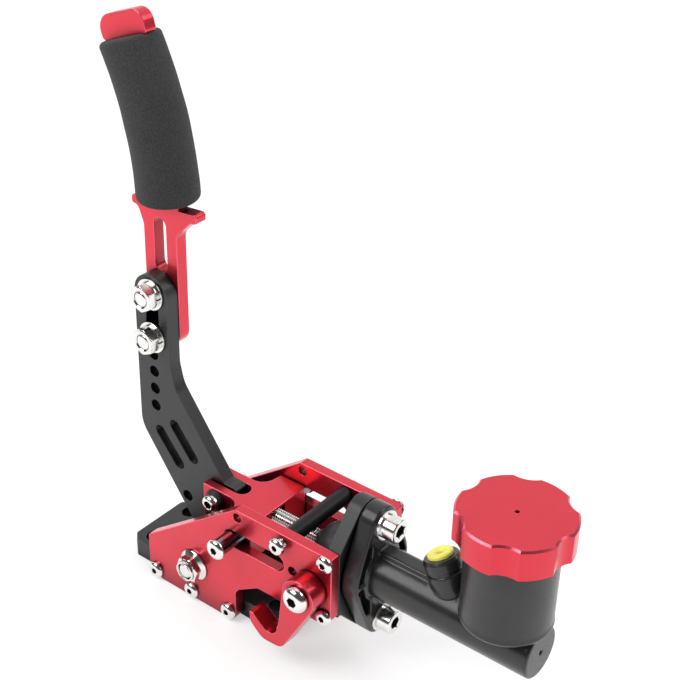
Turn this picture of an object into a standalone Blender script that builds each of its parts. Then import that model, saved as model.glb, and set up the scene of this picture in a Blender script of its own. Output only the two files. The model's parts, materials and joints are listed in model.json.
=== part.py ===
"""Hydraulic parking brake lever: one named object for each physical piece.

Metres, +Z up. The origin is on the floor, under the lever's main pivot. +X runs along the
master cylinder, and -Y is the side that carries the latch hook.
"""

import bpy
import bmesh
from math import acos, asin, atan2, cos, hypot, pi, radians, sin, sqrt, tan
from mathutils import Matrix, Vector

# Clearances
FIT = 0.0003                 # radial gap round a fixed shaft or screw
RUNNING = 0.0004             # gap between sliding faces
OPEN_PIVOT_PLAY = 0.0015     # extra radius where the link's closed loop is opened

# How many flat sides stand in for a circle
SIDES_SMALL = 10
SIDES_MEDIUM = 16
SIDES_LARGE = 24
SIDES_RESERVOIR = 36
SMOOTH_ANGLE = radians(40.0)   # faces that meet more bluntly than this are shaded as one

# Frame box
INNER_WIDTH = 0.0450
PLATE_THICKNESS = 0.0060
PLATE_REAR = -0.0332
PLATE_FRONT = 0.0900
PLATE_TOP = 0.0734
PLATE_SHOULDER = 0.0289      # where the rear slope meets the flat top
PLATE_REAR_TOP = 0.0264
PLATE_REAR_CORNER = 0.0085
NOTCH_REAR = 0.0283          # rear wall of the cut-out under the latch
NOTCH_HEIGHT = 0.0195
LOWER_EDGE = 0.0308          # underside of the plates in front of the cut-out
NOTCH_RAMP = 0.0120
EDGE_BREAK = 0.0005
HALF_INNER = INNER_WIDTH / 2
OUTER_FACE = HALF_INNER + PLATE_THICKNESS

# Base plate
BASE_REAR = -0.0540
BASE_FRONT = 0.0560
BASE_THICKNESS = 0.0105
BASE_CORNER = 0.0050
MOUNT_HOLE_RADIUS = 0.0043
MOUNT_HOLE_SPACING_Y = 0.0280
MOUNT_HOLE_REAR = -0.0440
MOUNT_HOLE_FRONT = 0.0440

# Screws: button heads, socket heads, hexagons
M5_RADIUS = 0.0025
M5_HEAD_RADIUS = 0.0046
M5_HEAD_HEIGHT = 0.0027
M5_SOCKET = 0.0030
M6_RADIUS = 0.0030
M6_HEAD_RADIUS = 0.0050
M6_HEAD_HEIGHT = 0.0033
M6_SOCKET = 0.0040
M8_RADIUS = 0.0040
M8_HEAD_RADIUS = 0.0070
M8_HEAD_HEIGHT = 0.0044
M8_SOCKET = 0.0050
M8_CAP_HEAD_RADIUS = 0.0065
M8_CAP_HEAD_HEIGHT = 0.0080
M8_CAP_SOCKET = 0.0060
M8_NUT_FLATS = 0.0130
M8_NUT_HEIGHT = 0.0052
M8_FLANGE_RADIUS = 0.0089
M8_FLANGE_NUT_HEIGHT = 0.0080
M8_WASHER_RADIUS = 0.0086
M8_WASHER_THICKNESS = 0.0012
M8_RING_RADIUS = 0.0078
SPRING_WASHER_RADIUS = 0.0072
SPRING_WASHER_THICKNESS = 0.0016
SCREW_DEPTH = 0.0120
BASE_SCREW_X = (-0.0280, -0.0022, 0.0236)

# Lever pivot and the link above it
PIVOT_Z = 0.0233
LINK_PIN_X = -0.0015
LINK_PIN_Z = 0.0533
AXIS_Z = 0.0543              # height of the master cylinder and of the guide slots
SLIDER_X = 0.0265            # slider pin at rest, at the rear end of the slots
STROKE = 0.0186
SLOT_HEIGHT = 0.0098
SLOT_SPARE = 0.0105          # slot length left in front of the pin at full stroke
BUSH_RADIUS = 0.0060
SPACER_RADIUS = 0.0068

# Lever arm
ARM_THICKNESS = 0.0080
ARM_LEFT = -0.0592
ARM_WIDTH = 0.0228
ARM_TOP = 0.1672
ARM_BEND_Z = 0.0745
ARM_FOOT_RADIUS = 0.0115
ARM_SHOULDER_Z = 0.0613
ARM_HOLE_RADIUS = 0.0032
ARM_HOLE_FIRST = 0.0899
ARM_HOLE_PITCH = 0.0105
ARM_HOLE_COUNT = 4
ARM_LOW_HOLE = (-0.0270, 0.0405)
LIGHTENING_SLOTS = (((-0.0461, 0.0755), (-0.0316, 0.0572)), ((-0.0340, 0.0845), (-0.0202, 0.0659)))
LIGHTENING_RADIUS = 0.0021
HANDLE_BOLT_LOW = 0.1321
HANDLE_BOLT_X = -0.0472
HANDLE_BOLT_SPACING = 0.0250

# Handle plate and grip
HANDLE_THICKNESS = 0.0070
HANDLE_CENTRE = -0.0470
HANDLE_WIDTH = 0.0225
HANDLE_BOTTOM = 0.1255
HANDLE_SLOT_WIDTH = 0.0080
HANDLE_SLOT_LOW = 0.1665
HANDLE_SLOT_HIGH = 0.1965
COLLAR_Z = 0.2017
COLLAR_THICKNESS = 0.0050
COLLAR_FLARE = 0.0090         # height of the flare under the collar
COLLAR_HALF_WIDTH = 0.0212
GRIP_START_X = -0.0432
GRIP_BEND_RADIUS = 0.1760
GRIP_START_Z = 0.2000
GRIP_GAP = 0.0013            # between the collar and the foam
GRIP_ANGLE = radians(28.6)
CORE_WIDTH = 0.0190
CAP_HALF_WIDTH = 0.0148
CAP_ANGLE = radians(31.8)
CAP_NECK_ANGLE = GRIP_ANGLE + radians(0.1)
GRIP_RADIUS_LOW = 0.0161
GRIP_RADIUS_HIGH = 0.0154

# Fork that links the lever to the slider pin
FORK_TOP = 0.0603
FORK_HEIGHT = 0.0220
FORK_REAR = -0.0104
FORK_FRONT = 0.0329
FORK_HEAD_REAR = 0.0150
FORK_CHEEK_OUTER = 0.0095
FORK_SLOT_END = 0.0133
FORK_SCALLOP = 0.0080
FORK_WINDOW = 0.0110
FORK_NUT_FLATS = 0.0100
FORK_NUT_HEIGHT = 0.0042
TRUNNION_RADIUS = 0.0060
SLEEVE_RADIUS = 0.0045
SLEEVE_REACH = 0.0110        # how far the latch end stands out of the near plate
SLEEVE_STUB = 0.0015         # how far the other end stands out of the far plate
SLEEVE_SCREW_DEPTH = 0.0140
TAPER_BUSH_HEIGHT = 0.0030
TAPER_BUSH_RADIUS = 0.0064
TAPER_BUSH_TOP_RADIUS = 0.0051

# Cross rod
CROSS_ROD_X = 0.0590
CROSS_ROD_Z = 0.0680
CROSS_ROD_RADIUS = 0.0045
LOOSE_SCREW_GAP = 0.0030     # the near screw is backed out by this much

# Spare holes in the side plates
TOP_HOLE = (0.0304, 0.0688)
LATCH_HOLE = (0.0660, 0.0540)
SPARE_HOLE_RADIUS = 0.0026

# Latch hook
LATCH_X = 0.0778
LATCH_Z = 0.0508
LATCH_THICKNESS = 0.0100
LATCH_BOSS_RADIUS = 0.0096
LATCH_CATCH_RADIUS = 0.0380
LATCH_BOSS_SPAN = (radians(-31.0), radians(172.0))
LATCH_CATCH_SPAN = (radians(239.5), radians(222.5))
LATCH_THROAT_TOP = (-0.0100, -0.0010)      # these points are measured from the hook's pivot
LATCH_SHANK_FOOT = (-0.0133, -0.0300)
LATCH_THROAT_FLOOR = (-0.0140, -0.0347)
LATCH_TIP_TOP = (-0.0316, -0.0262)
LATCH_TIP_OUTER = (-0.0322, -0.0318)
LATCH_HEEL = (-0.0196, -0.0402)
LATCH_HEEL_FRONT = (-0.0122, -0.0394)
LATCH_BACK = (0.0082, -0.0049)

# Front bracket and master cylinder
BRACKET_THICKNESS = 0.0077
FLANGE_BOLT_OFFSET = 0.028575
FLANGE_LOBE_RADIUS = 0.0097
FLANGE_MID_RADIUS = 0.0210
BRACKET_MID_RADIUS = 0.0285
FLANGE_THICKNESS = 0.0098
FLANGE_WEB = 0.0060
FLANGE_POCKET = ((0.0178, 0.0035), (0.0212, 0.0045), (0.0150, 0.0235), (0.0098, 0.0190))
WASHER_THICKNESS = 0.0015
TUBE_RADIUS = 0.01326
TUBE_END = 0.1893
BORE_RADIUS = 0.0095
BORE_END = 0.1830
SPIGOT_RADIUS = 0.0125
SPIGOT_LENGTH = 0.0150
RIDGE_HALF_WIDTH = 0.0050
RIDGE_TOP = 0.0695
RESERVOIR_X = 0.1695
RESERVOIR_RADIUS = 0.0219
RESERVOIR_WALL = 0.0026
RESERVOIR_BOTTOM = 0.0565
RESERVOIR_FLOOR = 0.0700
NECK_RADIUS = 0.0238
CAP_TOP = 0.1254
CAP_HEIGHT = 0.0166
CAP_RADIUS = 0.02785
CAP_ROOF = 0.0035
CAP_SCALLOPS = 6
CAP_SCALLOP_RADIUS = 0.0120
CAP_SCALLOP_DEPTH = 0.0024
CAP_SCALLOP_PHASE = radians(51.9)
CAP_VENT_RADIUS = 0.0011
CAP_CHAMFER = 0.0009
SEAL_THICKNESS = 0.0014
DIAPHRAGM_FOLD = 0.0090
DIAPHRAGM_CROWN = 0.0040
PORT_X = 0.1448              # where the outlet's axis meets the cylinder's axis
PORT_TILT = radians(25.0)
PORT_LENGTH = 0.0300
PORT_RADIUS = 0.0078
PORT_HOLE_RADIUS = 0.0048
PLUG_RIM_RADIUS = 0.0064
PLUG_RIM_HEIGHT = 0.0022

# Inside the cylinder
PUSHROD_RADIUS = 0.0040
PUSHROD_BALL_RADIUS = 0.0052
BALL_X = 0.1010
PISTON_REAR = 0.0960
PISTON_LENGTH = 0.0340
PISTON_RADIUS = BORE_RADIUS - FIT
SEAL_WIDTH = 0.0030
BOOT_RADIUS = 0.0150
BOOT_REAR = 0.0610
BOOT_WALL = 0.0015
RETAINER_X = 0.0925
RETAINER_THICKNESS = 0.0012
SPRING_WIRE = 0.0008
SPRING_COILS = 6

RED = (0.60, 0.022, 0.055, 1.0)
BLACK_METAL = (0.035, 0.036, 0.038, 1.0)
CAST_BLACK = (0.022, 0.022, 0.024, 1.0)
FOAM = (0.030, 0.031, 0.033, 1.0)
ZINC = (0.72, 0.71, 0.69, 1.0)
RUBBER = (0.015, 0.015, 0.016, 1.0)
YELLOW = (0.85, 0.70, 0.03, 1.0)
BRONZE = (0.45, 0.31, 0.16, 1.0)


def clear_scene():
    """Remove every object, so that the file holds only this part."""
    for item in list(bpy.data.objects):
        bpy.data.objects.remove(item, do_unlink=True)


def make_material(name, colour, metallic, roughness):
    """Give back a new Principled material."""
    material = bpy.data.materials.new(name)
    material.use_nodes = True
    shader = material.node_tree.nodes["Principled BSDF"]
    shader.inputs["Base Color"].default_value = colour
    shader.inputs["Metallic"].default_value = metallic
    shader.inputs["Roughness"].default_value = roughness
    material.diffuse_color = colour
    return material


def arc(centre, radius, start, end, steps):
    """Points on an arc, both ends included."""
    angles = [start + (end - start) * i / steps for i in range(steps + 1)]
    return [(centre[0] + radius * cos(a), centre[1] + radius * sin(a)) for a in angles]


def slot(first, second, radius, steps=5):
    """A slot with round ends between two centres."""
    turn = atan2(second[1] - first[1], second[0] - first[0])
    far = arc(second, radius, turn - pi / 2, turn + pi / 2, steps)
    near = arc(first, radius, turn + pi / 2, turn + 3 * pi / 2, steps)
    return far + near


def rounded(corners, step=radians(24)):
    """An outline from (u, v, fillet radius) corners, with each fillet as an arc."""
    points = []
    count = len(corners)
    for i, (u, v, radius) in enumerate(corners):
        here = Vector((u, v))
        before = (Vector(corners[i - 1][:2]) - here).normalized()
        after = (Vector(corners[(i + 1) % count][:2]) - here).normalized()
        half = acos(max(-1.0, min(1.0, before.dot(after)))) / 2
        if radius <= 0 or half > radians(89):
            points.append((u, v))
            continue
        centre = here + (before + after).normalized() * (radius / sin(half))
        first = here + before * (radius / tan(half)) - centre
        last = here + after * (radius / tan(half)) - centre
        start = atan2(first.y, first.x)
        sweep = atan2(last.y, last.x) - start
        sweep = (sweep + pi) % (2 * pi) - pi
        steps = max(2, round(abs(sweep) / step))
        points += arc(centre, radius, start, start + sweep, steps)
    return points


def placed(axis, u, v, w):
    """A point from outline coordinates and a height along an axis."""
    return {"X": (w, u, v), "Y": (u, w, v), "Z": (u, v, w)}[axis]


def slab(outline, axis, start, end, edge_break=0.0):
    """An outline extruded along an axis, with chamfered rims where asked."""
    bm = bmesh.new()
    corners = [bm.verts.new(placed(axis, u, v, start)) for u, v in outline]
    face = bm.faces.new(corners)
    grown = bmesh.ops.extrude_face_region(bm, geom=[face])
    top = [item for item in grown["geom"] if isinstance(item, bmesh.types.BMVert)]
    bmesh.ops.translate(bm, verts=top, vec=placed(axis, 0, 0, end - start))
    bmesh.ops.recalc_face_normals(bm, faces=bm.faces)
    if edge_break:
        caps = [f for f in bm.faces if len(f.verts) == len(outline)]
        rims = {edge for cap in caps for edge in cap.edges}
        bmesh.ops.bevel(bm, geom=list(rims), offset=edge_break, segments=1, affect="EDGES")
    return bm


def turned(profile, axis, centre, count=SIDES_MEDIUM):
    """A closed (radius, height) profile spun round an axis through a centre."""
    bm = bmesh.new()
    u, v = centre
    corners = [bm.verts.new(placed(axis, u + r, v, h)) for r, h in profile]
    edges = [bm.edges.new((corners[i - 1], corners[i])) for i in range(len(corners))]
    pivot = placed(axis, u, v, 0)
    along = placed(axis, 0, 0, 1)
    bmesh.ops.spin(bm, geom=corners + edges, cent=pivot, axis=along, angle=2 * pi,
                   steps=count, use_merge=True, use_duplicate=False)
    bmesh.ops.remove_doubles(bm, verts=bm.verts, dist=1e-7)
    bmesh.ops.dissolve_degenerate(bm, edges=bm.edges, dist=1e-7)
    bmesh.ops.recalc_face_normals(bm, faces=bm.faces)
    return bm


def tube(inner, outer, axis, centre, start, end, count=SIDES_MEDIUM):
    """A plain ring, or a plain cylinder when the inner radius is zero."""
    profile = [(inner, start), (outer, start), (outer, end), (inner, end)]
    return turned(profile, axis, centre, count)


def moved(bm, matrix):
    """The same mesh after a placement matrix."""
    bmesh.ops.transform(bm, matrix=matrix, verts=bm.verts)
    return bm


def working_object(bm):
    """A temporary object that holds a mesh."""
    mesh = bpy.data.meshes.new("working")
    bm.to_mesh(mesh)
    bm.free()
    item = bpy.data.objects.new("working", mesh)
    bpy.context.scene.collection.objects.link(item)
    return item


def combine(target, tools, operation):
    """Join tools to a mesh, or cut them out, one Boolean after another."""
    result = target
    for tool in tools:
        body = working_object(result)
        other = working_object(tool)
        modifier = body.modifiers.new("Boolean", "BOOLEAN")
        modifier.operation = operation
        modifier.object = other
        bpy.context.view_layer.update()
        evaluated = body.evaluated_get(bpy.context.evaluated_depsgraph_get())
        result = bmesh.new()
        result.from_mesh(evaluated.to_mesh())
        evaluated.to_mesh_clear()
        for item in (body, other):
            mesh = item.data
            bpy.data.objects.remove(item, do_unlink=True)
            bpy.data.meshes.remove(mesh)
        bmesh.ops.remove_doubles(result, verts=result.verts, dist=1e-7)
    return result


def cut(target, tools):
    """Cut tools out of a mesh."""
    return combine(target, tools, "DIFFERENCE")


def union(target, tools):
    """Fuse tools to a mesh."""
    return combine(target, tools, "UNION")


def add_piece(name, bm, colour, metallic, roughness, origin=(0, 0, 0)):
    """Turn a mesh into a named object whose origin is at the given point."""
    bmesh.ops.translate(bm, verts=bm.verts, vec=[-value for value in origin])
    mesh = bpy.data.meshes.new(name)
    bm.to_mesh(mesh)
    bm.free()
    mesh.shade_smooth()
    mesh.set_sharp_from_angle(angle=SMOOTH_ANGLE)
    piece = bpy.data.objects.new(name, mesh)
    piece.location = origin
    piece.data.materials.append(make_material(name, colour, metallic, roughness))
    bpy.context.scene.collection.objects.link(piece)
    return piece


def hexagon(flats, centre=(0, 0), turn=0.0):
    """A hexagon by its width across flats."""
    corner = flats / sqrt(3)
    return arc(centre, corner, turn, turn + 2 * pi, 6)[:-1]


def button_screw(radius, head_radius, head_height, socket, length, count=SIDES_SMALL):
    """A button-head screw along +Z: head above zero, shank below."""
    dome = [(head_radius, 0), (head_radius, head_height * 0.25), (head_radius * 0.62, head_height)]
    profile = [(0, -length), (radius, -length), (radius, 0)] + dome + [(0, head_height)]
    body = turned(profile, "Z", (0, 0), count)
    recess = slab(hexagon(socket), "Z", head_height * 0.35, head_height * 2)
    return cut(body, [recess])


def plate_screw():
    """The button-head screw that every side plate joint uses."""
    length = PLATE_THICKNESS + SCREW_DEPTH - 0.001
    return button_screw(M5_RADIUS, M5_HEAD_RADIUS, M5_HEAD_HEIGHT, M5_SOCKET, length)


def cap_screw(length):
    """An M8 socket cap screw along +Z: head above zero, shank below."""
    rim = M8_CAP_HEAD_RADIUS - EDGE_BREAK
    profile = [(0, -length), (M8_RADIUS, -length), (M8_RADIUS, 0), (M8_CAP_HEAD_RADIUS, 0),
               (M8_CAP_HEAD_RADIUS, M8_CAP_HEAD_HEIGHT - EDGE_BREAK),
               (rim, M8_CAP_HEAD_HEIGHT), (0, M8_CAP_HEAD_HEIGHT)]
    recess = slab(hexagon(M8_CAP_SOCKET), "Z", M8_CAP_HEAD_HEIGHT / 2, M8_CAP_HEAD_HEIGHT * 2)
    return cut(turned(profile, "Z", (0, 0)), [recess])


def hex_nut(height, turn=0.0):
    """An M8 nut along +Z from zero, bored for the screw."""
    body = slab(hexagon(M8_NUT_FLATS, turn=turn), "Z", 0, height)
    corner = M8_NUT_FLATS / sqrt(3)
    cone = turned([(0, -height), (corner, -height), (corner, height * 0.80),
                   (M8_NUT_FLATS * 0.44, height), (0, height)], "Z", (0, 0))
    bore = tube(0, M8_RADIUS + FIT, "Z", (0, 0), -height, height * 2)
    return cut(combine(body, [cone], "INTERSECT"), [bore])


def facing(direction, point):
    """Placement that turns +Z to a world direction at a point."""
    turn = Vector((0, 0, 1)).rotation_difference(Vector(direction)).to_matrix().to_4x4()
    return Matrix.Translation(point) @ turn


def hole(axis, centre, radius, start, end, count=SIDES_MEDIUM):
    """A round cutter through the given span."""
    return tube(0, radius, axis, centre, start, end, count)


# Geometry shared by several pieces
SIDES = (("near", -1), ("far", 1))
PIVOT = (0.0, PIVOT_Z)
LINK_PIN = (LINK_PIN_X, LINK_PIN_Z)
SLIDER = (SLIDER_X, AXIS_Z)
LATCH = (LATCH_X, LATCH_Z)
SLOT_FRONT = SLIDER_X + STROKE + SLOT_SPARE
BRACKET_REAR = PLATE_FRONT - BRACKET_THICKNESS
BRACKET_SCREWS = ((PLATE_FRONT - BRACKET_THICKNESS / 2, 0.0694),
                  (PLATE_FRONT - BRACKET_THICKNESS / 2, 0.0365))
ARM_CENTRE = ARM_LEFT + ARM_WIDTH / 2
HALF_ARM = ARM_THICKNESS / 2
HANDLE_NEAR = HALF_ARM
HANDLE_FAR = HANDLE_NEAR + HANDLE_THICKNESS
HANDLE_MID = (HANDLE_NEAR + HANDLE_FAR) / 2
HANDLE_BOLTS = (HANDLE_BOLT_LOW, HANDLE_BOLT_LOW + HANDLE_BOLT_SPACING)
BEND_CENTRE = (GRIP_START_X - GRIP_BEND_RADIUS, GRIP_START_Z)
FORK_BOTTOM = FORK_TOP - FORK_HEIGHT
FLANGE_FRONT = PLATE_FRONT + FLANGE_THICKNESS
CAP_BOTTOM = CAP_TOP - CAP_HEIGHT
NECK_TOP = CAP_TOP - CAP_ROOF - SEAL_THICKNESS - 2 * FIT


def side_plate_outline():
    """Outline of a side plate, seen from the near side."""
    chamfer = PLATE_REAR_CORNER
    return rounded([
        (PLATE_REAR + chamfer, 0, 0.002), (PLATE_REAR, chamfer, 0.002),
        (PLATE_REAR, PLATE_REAR_TOP, 0.003), (PLATE_SHOULDER, PLATE_TOP, 0.002),
        (PLATE_FRONT, PLATE_TOP, 0.0012), (PLATE_FRONT, LOWER_EDGE + 0.005, 0.001),
        (PLATE_FRONT - 0.005, LOWER_EDGE, 0.001),
        (NOTCH_REAR + NOTCH_RAMP + 0.003, LOWER_EDGE, 0.004),
        (NOTCH_REAR + 0.002, NOTCH_HEIGHT + 0.003, 0.002), (NOTCH_REAR, NOTCH_HEIGHT, 0.002),
        (NOTCH_REAR, 0, 0.005)])


def build_side_plate(name, side):
    """A red side plate, with its guide slot, screw holes and spare holes."""
    inner = side * HALF_INNER
    outer = side * OUTER_FACE
    low, high = min(inner, outer), max(inner, outer)
    plate = slab(side_plate_outline(), "Y", low, high, EDGE_BREAK)
    span = (low - 0.002, high + 0.002)
    guide = slab(slot(SLIDER, (SLOT_FRONT, AXIS_Z), SLOT_HEIGHT / 2, 6), "Y", *span)
    tools = [guide, hole("Y", PIVOT, M8_RADIUS + FIT, *span)]
    tools += [hole("Y", (x, BASE_THICKNESS / 2), M5_RADIUS + FIT, *span, SIDES_SMALL)
              for x in BASE_SCREW_X]
    tools += [hole("Y", centre, M5_RADIUS + FIT, *span, SIDES_SMALL) for centre in BRACKET_SCREWS]
    tools.append(hole("Y", (CROSS_ROD_X, CROSS_ROD_Z), M5_RADIUS + FIT, *span, SIDES_SMALL))
    tools.append(hole("Y", TOP_HOLE, SPARE_HOLE_RADIUS, *span, SIDES_SMALL))
    tools.append(hole("Y", LATCH_HOLE, SPARE_HOLE_RADIUS, *span, SIDES_SMALL))
    if side < 0:
        tools.append(hole("Y", LATCH, M8_RADIUS + FIT, *span))
    return add_piece(name, cut(plate, tools), RED, 0.9, 0.35)


def build_base():
    """The black base plate between the side plates, with its mounting holes."""
    corner = BASE_CORNER
    outline = rounded([
        (BASE_REAR + corner, -HALF_INNER, 0.002), (BASE_FRONT, -HALF_INNER, 0.003),
        (BASE_FRONT, HALF_INNER, 0.003), (BASE_REAR + corner, HALF_INNER, 0.002),
        (BASE_REAR, HALF_INNER - corner, 0.002), (BASE_REAR, corner - HALF_INNER, 0.002)])
    base = slab(outline, "Z", 0, BASE_THICKNESS, 0.0008)
    span = (-0.002, BASE_THICKNESS + 0.002)
    tools = [hole("Z", (x, side * MOUNT_HOLE_SPACING_Y / 2), MOUNT_HOLE_RADIUS, *span)
             for x in (MOUNT_HOLE_REAR, MOUNT_HOLE_FRONT) for side in (-1, 1)]
    for x in BASE_SCREW_X:
        for side in (-1, 1):
            depth = sorted((side * (HALF_INNER + 0.002), side * (HALF_INNER - SCREW_DEPTH)))
            centre = (x, BASE_THICKNESS / 2)
            tools.append(hole("Y", centre, M5_RADIUS + FIT, *depth, SIDES_SMALL))
    return add_piece("base_plate", cut(base, tools), BLACK_METAL, 0.6, 0.45)


def build_base_screws():
    """Six button-head screws through the side plates into the base."""
    for number, x in enumerate(BASE_SCREW_X, 1):
        for label, side in SIDES:
            point = (x, side * OUTER_FACE, BASE_THICKNESS / 2)
            screw = moved(plate_screw(), facing((0, side, 0), point))
            add_piece(f"base_screw_{label}_{number}", screw, ZINC, 1.0, 0.25)


def build_bracket_screws():
    """Four button-head screws through the side plates into the front bracket."""
    for height, (x, z) in zip(("high", "low"), BRACKET_SCREWS):
        for label, side in SIDES:
            screw = moved(plate_screw(), facing((0, side, 0), (x, side * OUTER_FACE, z)))
            add_piece(f"bracket_screw_{label}_{height}", screw, ZINC, 1.0, 0.25)


def build_cross_rod():
    """The black spacer rod that ties the two plates near their top."""
    profile = [(0, -HALF_INNER), (CROSS_ROD_RADIUS, -HALF_INNER),
               (CROSS_ROD_RADIUS, HALF_INNER), (0, HALF_INNER)]
    rod = turned(profile, "Y", (CROSS_ROD_X, CROSS_ROD_Z))
    depth = HALF_INNER - SCREW_DEPTH
    tools = [hole("Y", (CROSS_ROD_X, CROSS_ROD_Z), M5_RADIUS + FIT, depth, HALF_INNER + 0.002, SIDES_SMALL),
             hole("Y", (CROSS_ROD_X, CROSS_ROD_Z), M5_RADIUS + FIT, -HALF_INNER - 0.002, -depth, SIDES_SMALL)]
    return add_piece("cross_rod", cut(rod, tools), BLACK_METAL, 0.6, 0.40)


def build_cross_rod_screws():
    """The cross rod's two screws; the near one is backed out a little, as photographed."""
    for label, side, lift in (("near", -1, LOOSE_SCREW_GAP), ("far", 1, 0.0)):
        point = (CROSS_ROD_X, side * (OUTER_FACE + lift), CROSS_ROD_Z)
        screw = moved(plate_screw(), facing((0, side, 0), point))
        add_piece(f"cross_rod_screw_{label}", screw, ZINC, 1.0, 0.25)


def flange_outline(mid_radius, lobe_radius, extra=0.0):
    """Rhombic two-bolt flange: lobes above and below, tangent to a wide middle circle."""
    lean = asin((mid_radius - lobe_radius) / FLANGE_BOLT_OFFSET)
    points = []
    for turn in (0, 1, 2, 3):
        side = 1 if turn in (0, 3) else -1
        top = 1 if turn in (0, 1) else -1
        centre = (0, AXIS_Z + top * FLANGE_BOLT_OFFSET)
        mid = arc((0, AXIS_Z), mid_radius + extra, 0, lean, 3)
        lobe = arc((0, 0), lobe_radius + extra, lean, pi / 2, 6)
        run = [(side * u, AXIS_Z + top * (v - AXIS_Z)) for u, v in mid]
        run += [(side * u, centre[1] + top * v) for u, v in lobe]
        points += run if turn in (0, 2) else run[::-1]
    clean = []
    for point in points:
        if not clean or hypot(point[0] - clean[-1][0], point[1] - clean[-1][1]) > 1e-6:
            clean.append(point)
    if hypot(clean[0][0] - clean[-1][0], clean[0][1] - clean[-1][1]) < 1e-6:
        clean.pop()
    return clean


def build_bracket():
    """The black adapter plate between the side plates, which carries the cylinder."""
    low = LOWER_EDGE + 0.003
    lobes = slab(flange_outline(BRACKET_MID_RADIUS, FLANGE_LOBE_RADIUS), "X",
                 BRACKET_REAR, PLATE_FRONT)
    block = slab(rounded([(-HALF_INNER, low, 0.002), (HALF_INNER, low, 0.002),
                          (HALF_INNER, PLATE_TOP - 0.001, 0.001),
                          (-HALF_INNER, PLATE_TOP - 0.001, 0.001)]), "X",
                 BRACKET_REAR, PLATE_FRONT)
    trim = slab([(-HALF_INNER, -0.02), (HALF_INNER, -0.02), (HALF_INNER, 0.14),
                 (-HALF_INNER, 0.14)], "X", BRACKET_REAR - 0.002, PLATE_FRONT + 0.002)
    body = combine(union(lobes, [block]), [trim], "INTERSECT")
    span = (BRACKET_REAR - 0.002, PLATE_FRONT + 0.002)
    tools = [hole("X", (0, AXIS_Z), SPIGOT_RADIUS + FIT, *span, SIDES_LARGE)]
    tools += [hole("X", (0, AXIS_Z + side * FLANGE_BOLT_OFFSET), M8_RADIUS + FIT, *span)
              for side in (-1, 1)]
    for x, z in BRACKET_SCREWS:
        for side in (-1, 1):
            depth = sorted((side * (HALF_INNER + 0.002), side * (HALF_INNER - SCREW_DEPTH)))
            tools.append(hole("Y", (x, z), M5_RADIUS + FIT, *depth, SIDES_SMALL))
    return add_piece("front_bracket", cut(body, tools), BLACK_METAL, 0.6, 0.42)


def build_pivot_hardware():
    """The lever's main pivot: bolt, flange nut, bush in the arm and two spacer tubes."""
    length = 2 * OUTER_FACE + M8_FLANGE_NUT_HEIGHT - 0.0006
    bolt = button_screw(M8_RADIUS, M8_HEAD_RADIUS, M8_HEAD_HEIGHT, M8_SOCKET, length, SIDES_MEDIUM)
    moved(bolt, facing((0, 1, 0), (0, OUTER_FACE, PIVOT_Z)))
    add_piece("pivot_bolt", bolt, ZINC, 1.0, 0.25)
    height = M8_FLANGE_NUT_HEIGHT
    flange = turned([(0, 0), (M8_FLANGE_RADIUS, 0), (M8_FLANGE_RADIUS, 0.0011),
                     (M8_NUT_FLATS * 0.52, 0.0026), (0, 0.0026)], "Z", (0, 0))
    crown = tube(0, M8_NUT_FLATS * 0.46, "Z", (0, 0), height * 0.5, height)
    body = slab(hexagon(M8_NUT_FLATS, turn=radians(12)), "Z", 0, height * 0.85)
    bore = tube(0, M8_RADIUS + FIT, "Z", (0, 0), -height, height * 2)
    nut = cut(union(flange, [body, crown]), [bore])
    moved(nut, facing((0, -1, 0), (0, -OUTER_FACE, PIVOT_Z)))
    add_piece("pivot_nut", nut, ZINC, 1.0, 0.22)
    inner = M8_RADIUS + FIT
    reach = HALF_ARM + RUNNING
    add_piece("pivot_bush", tube(inner, BUSH_RADIUS, "Y", PIVOT, -reach, reach),
              BRONZE, 1.0, 0.35)
    for label, side in SIDES:
        span = sorted((side * reach, side * HALF_INNER))
        spacer = tube(inner, SPACER_RADIUS, "Y", PIVOT, *span)
        add_piece(f"pivot_spacer_{label}", spacer, ZINC, 1.0, 0.35)


def arm_outline():
    """Outline of the lever arm: upright top, bend, broad foot round the pivot."""
    right = ARM_LEFT + ARM_WIDTH
    radius = ARM_WIDTH / 2
    foot = PIVOT_Z - ARM_FOOT_RADIUS
    side = ARM_FOOT_RADIUS
    lobe = LINK_PIN_X + 0.0098
    corners = [
        (ARM_LEFT, ARM_TOP, radius - 0.0001), (ARM_LEFT, ARM_BEND_Z, 0.018),
        (-0.0205, 0.0219, 0.004), (-0.0125, foot, 0.005), (side, foot, side - 0.0005),
        (side, PIVOT_Z + 0.008, 0.010), (lobe, LINK_PIN_Z - 0.009, 0.010),
        (lobe, ARM_SHOULDER_Z, 0.003), (-0.0002, ARM_SHOULDER_Z, 0.0015),
        (-0.0338, 0.1065, 0.020), (right, 0.1180, 0.020), (right, ARM_TOP, radius - 0.0001)]
    return rounded(corners, radians(20))


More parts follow.
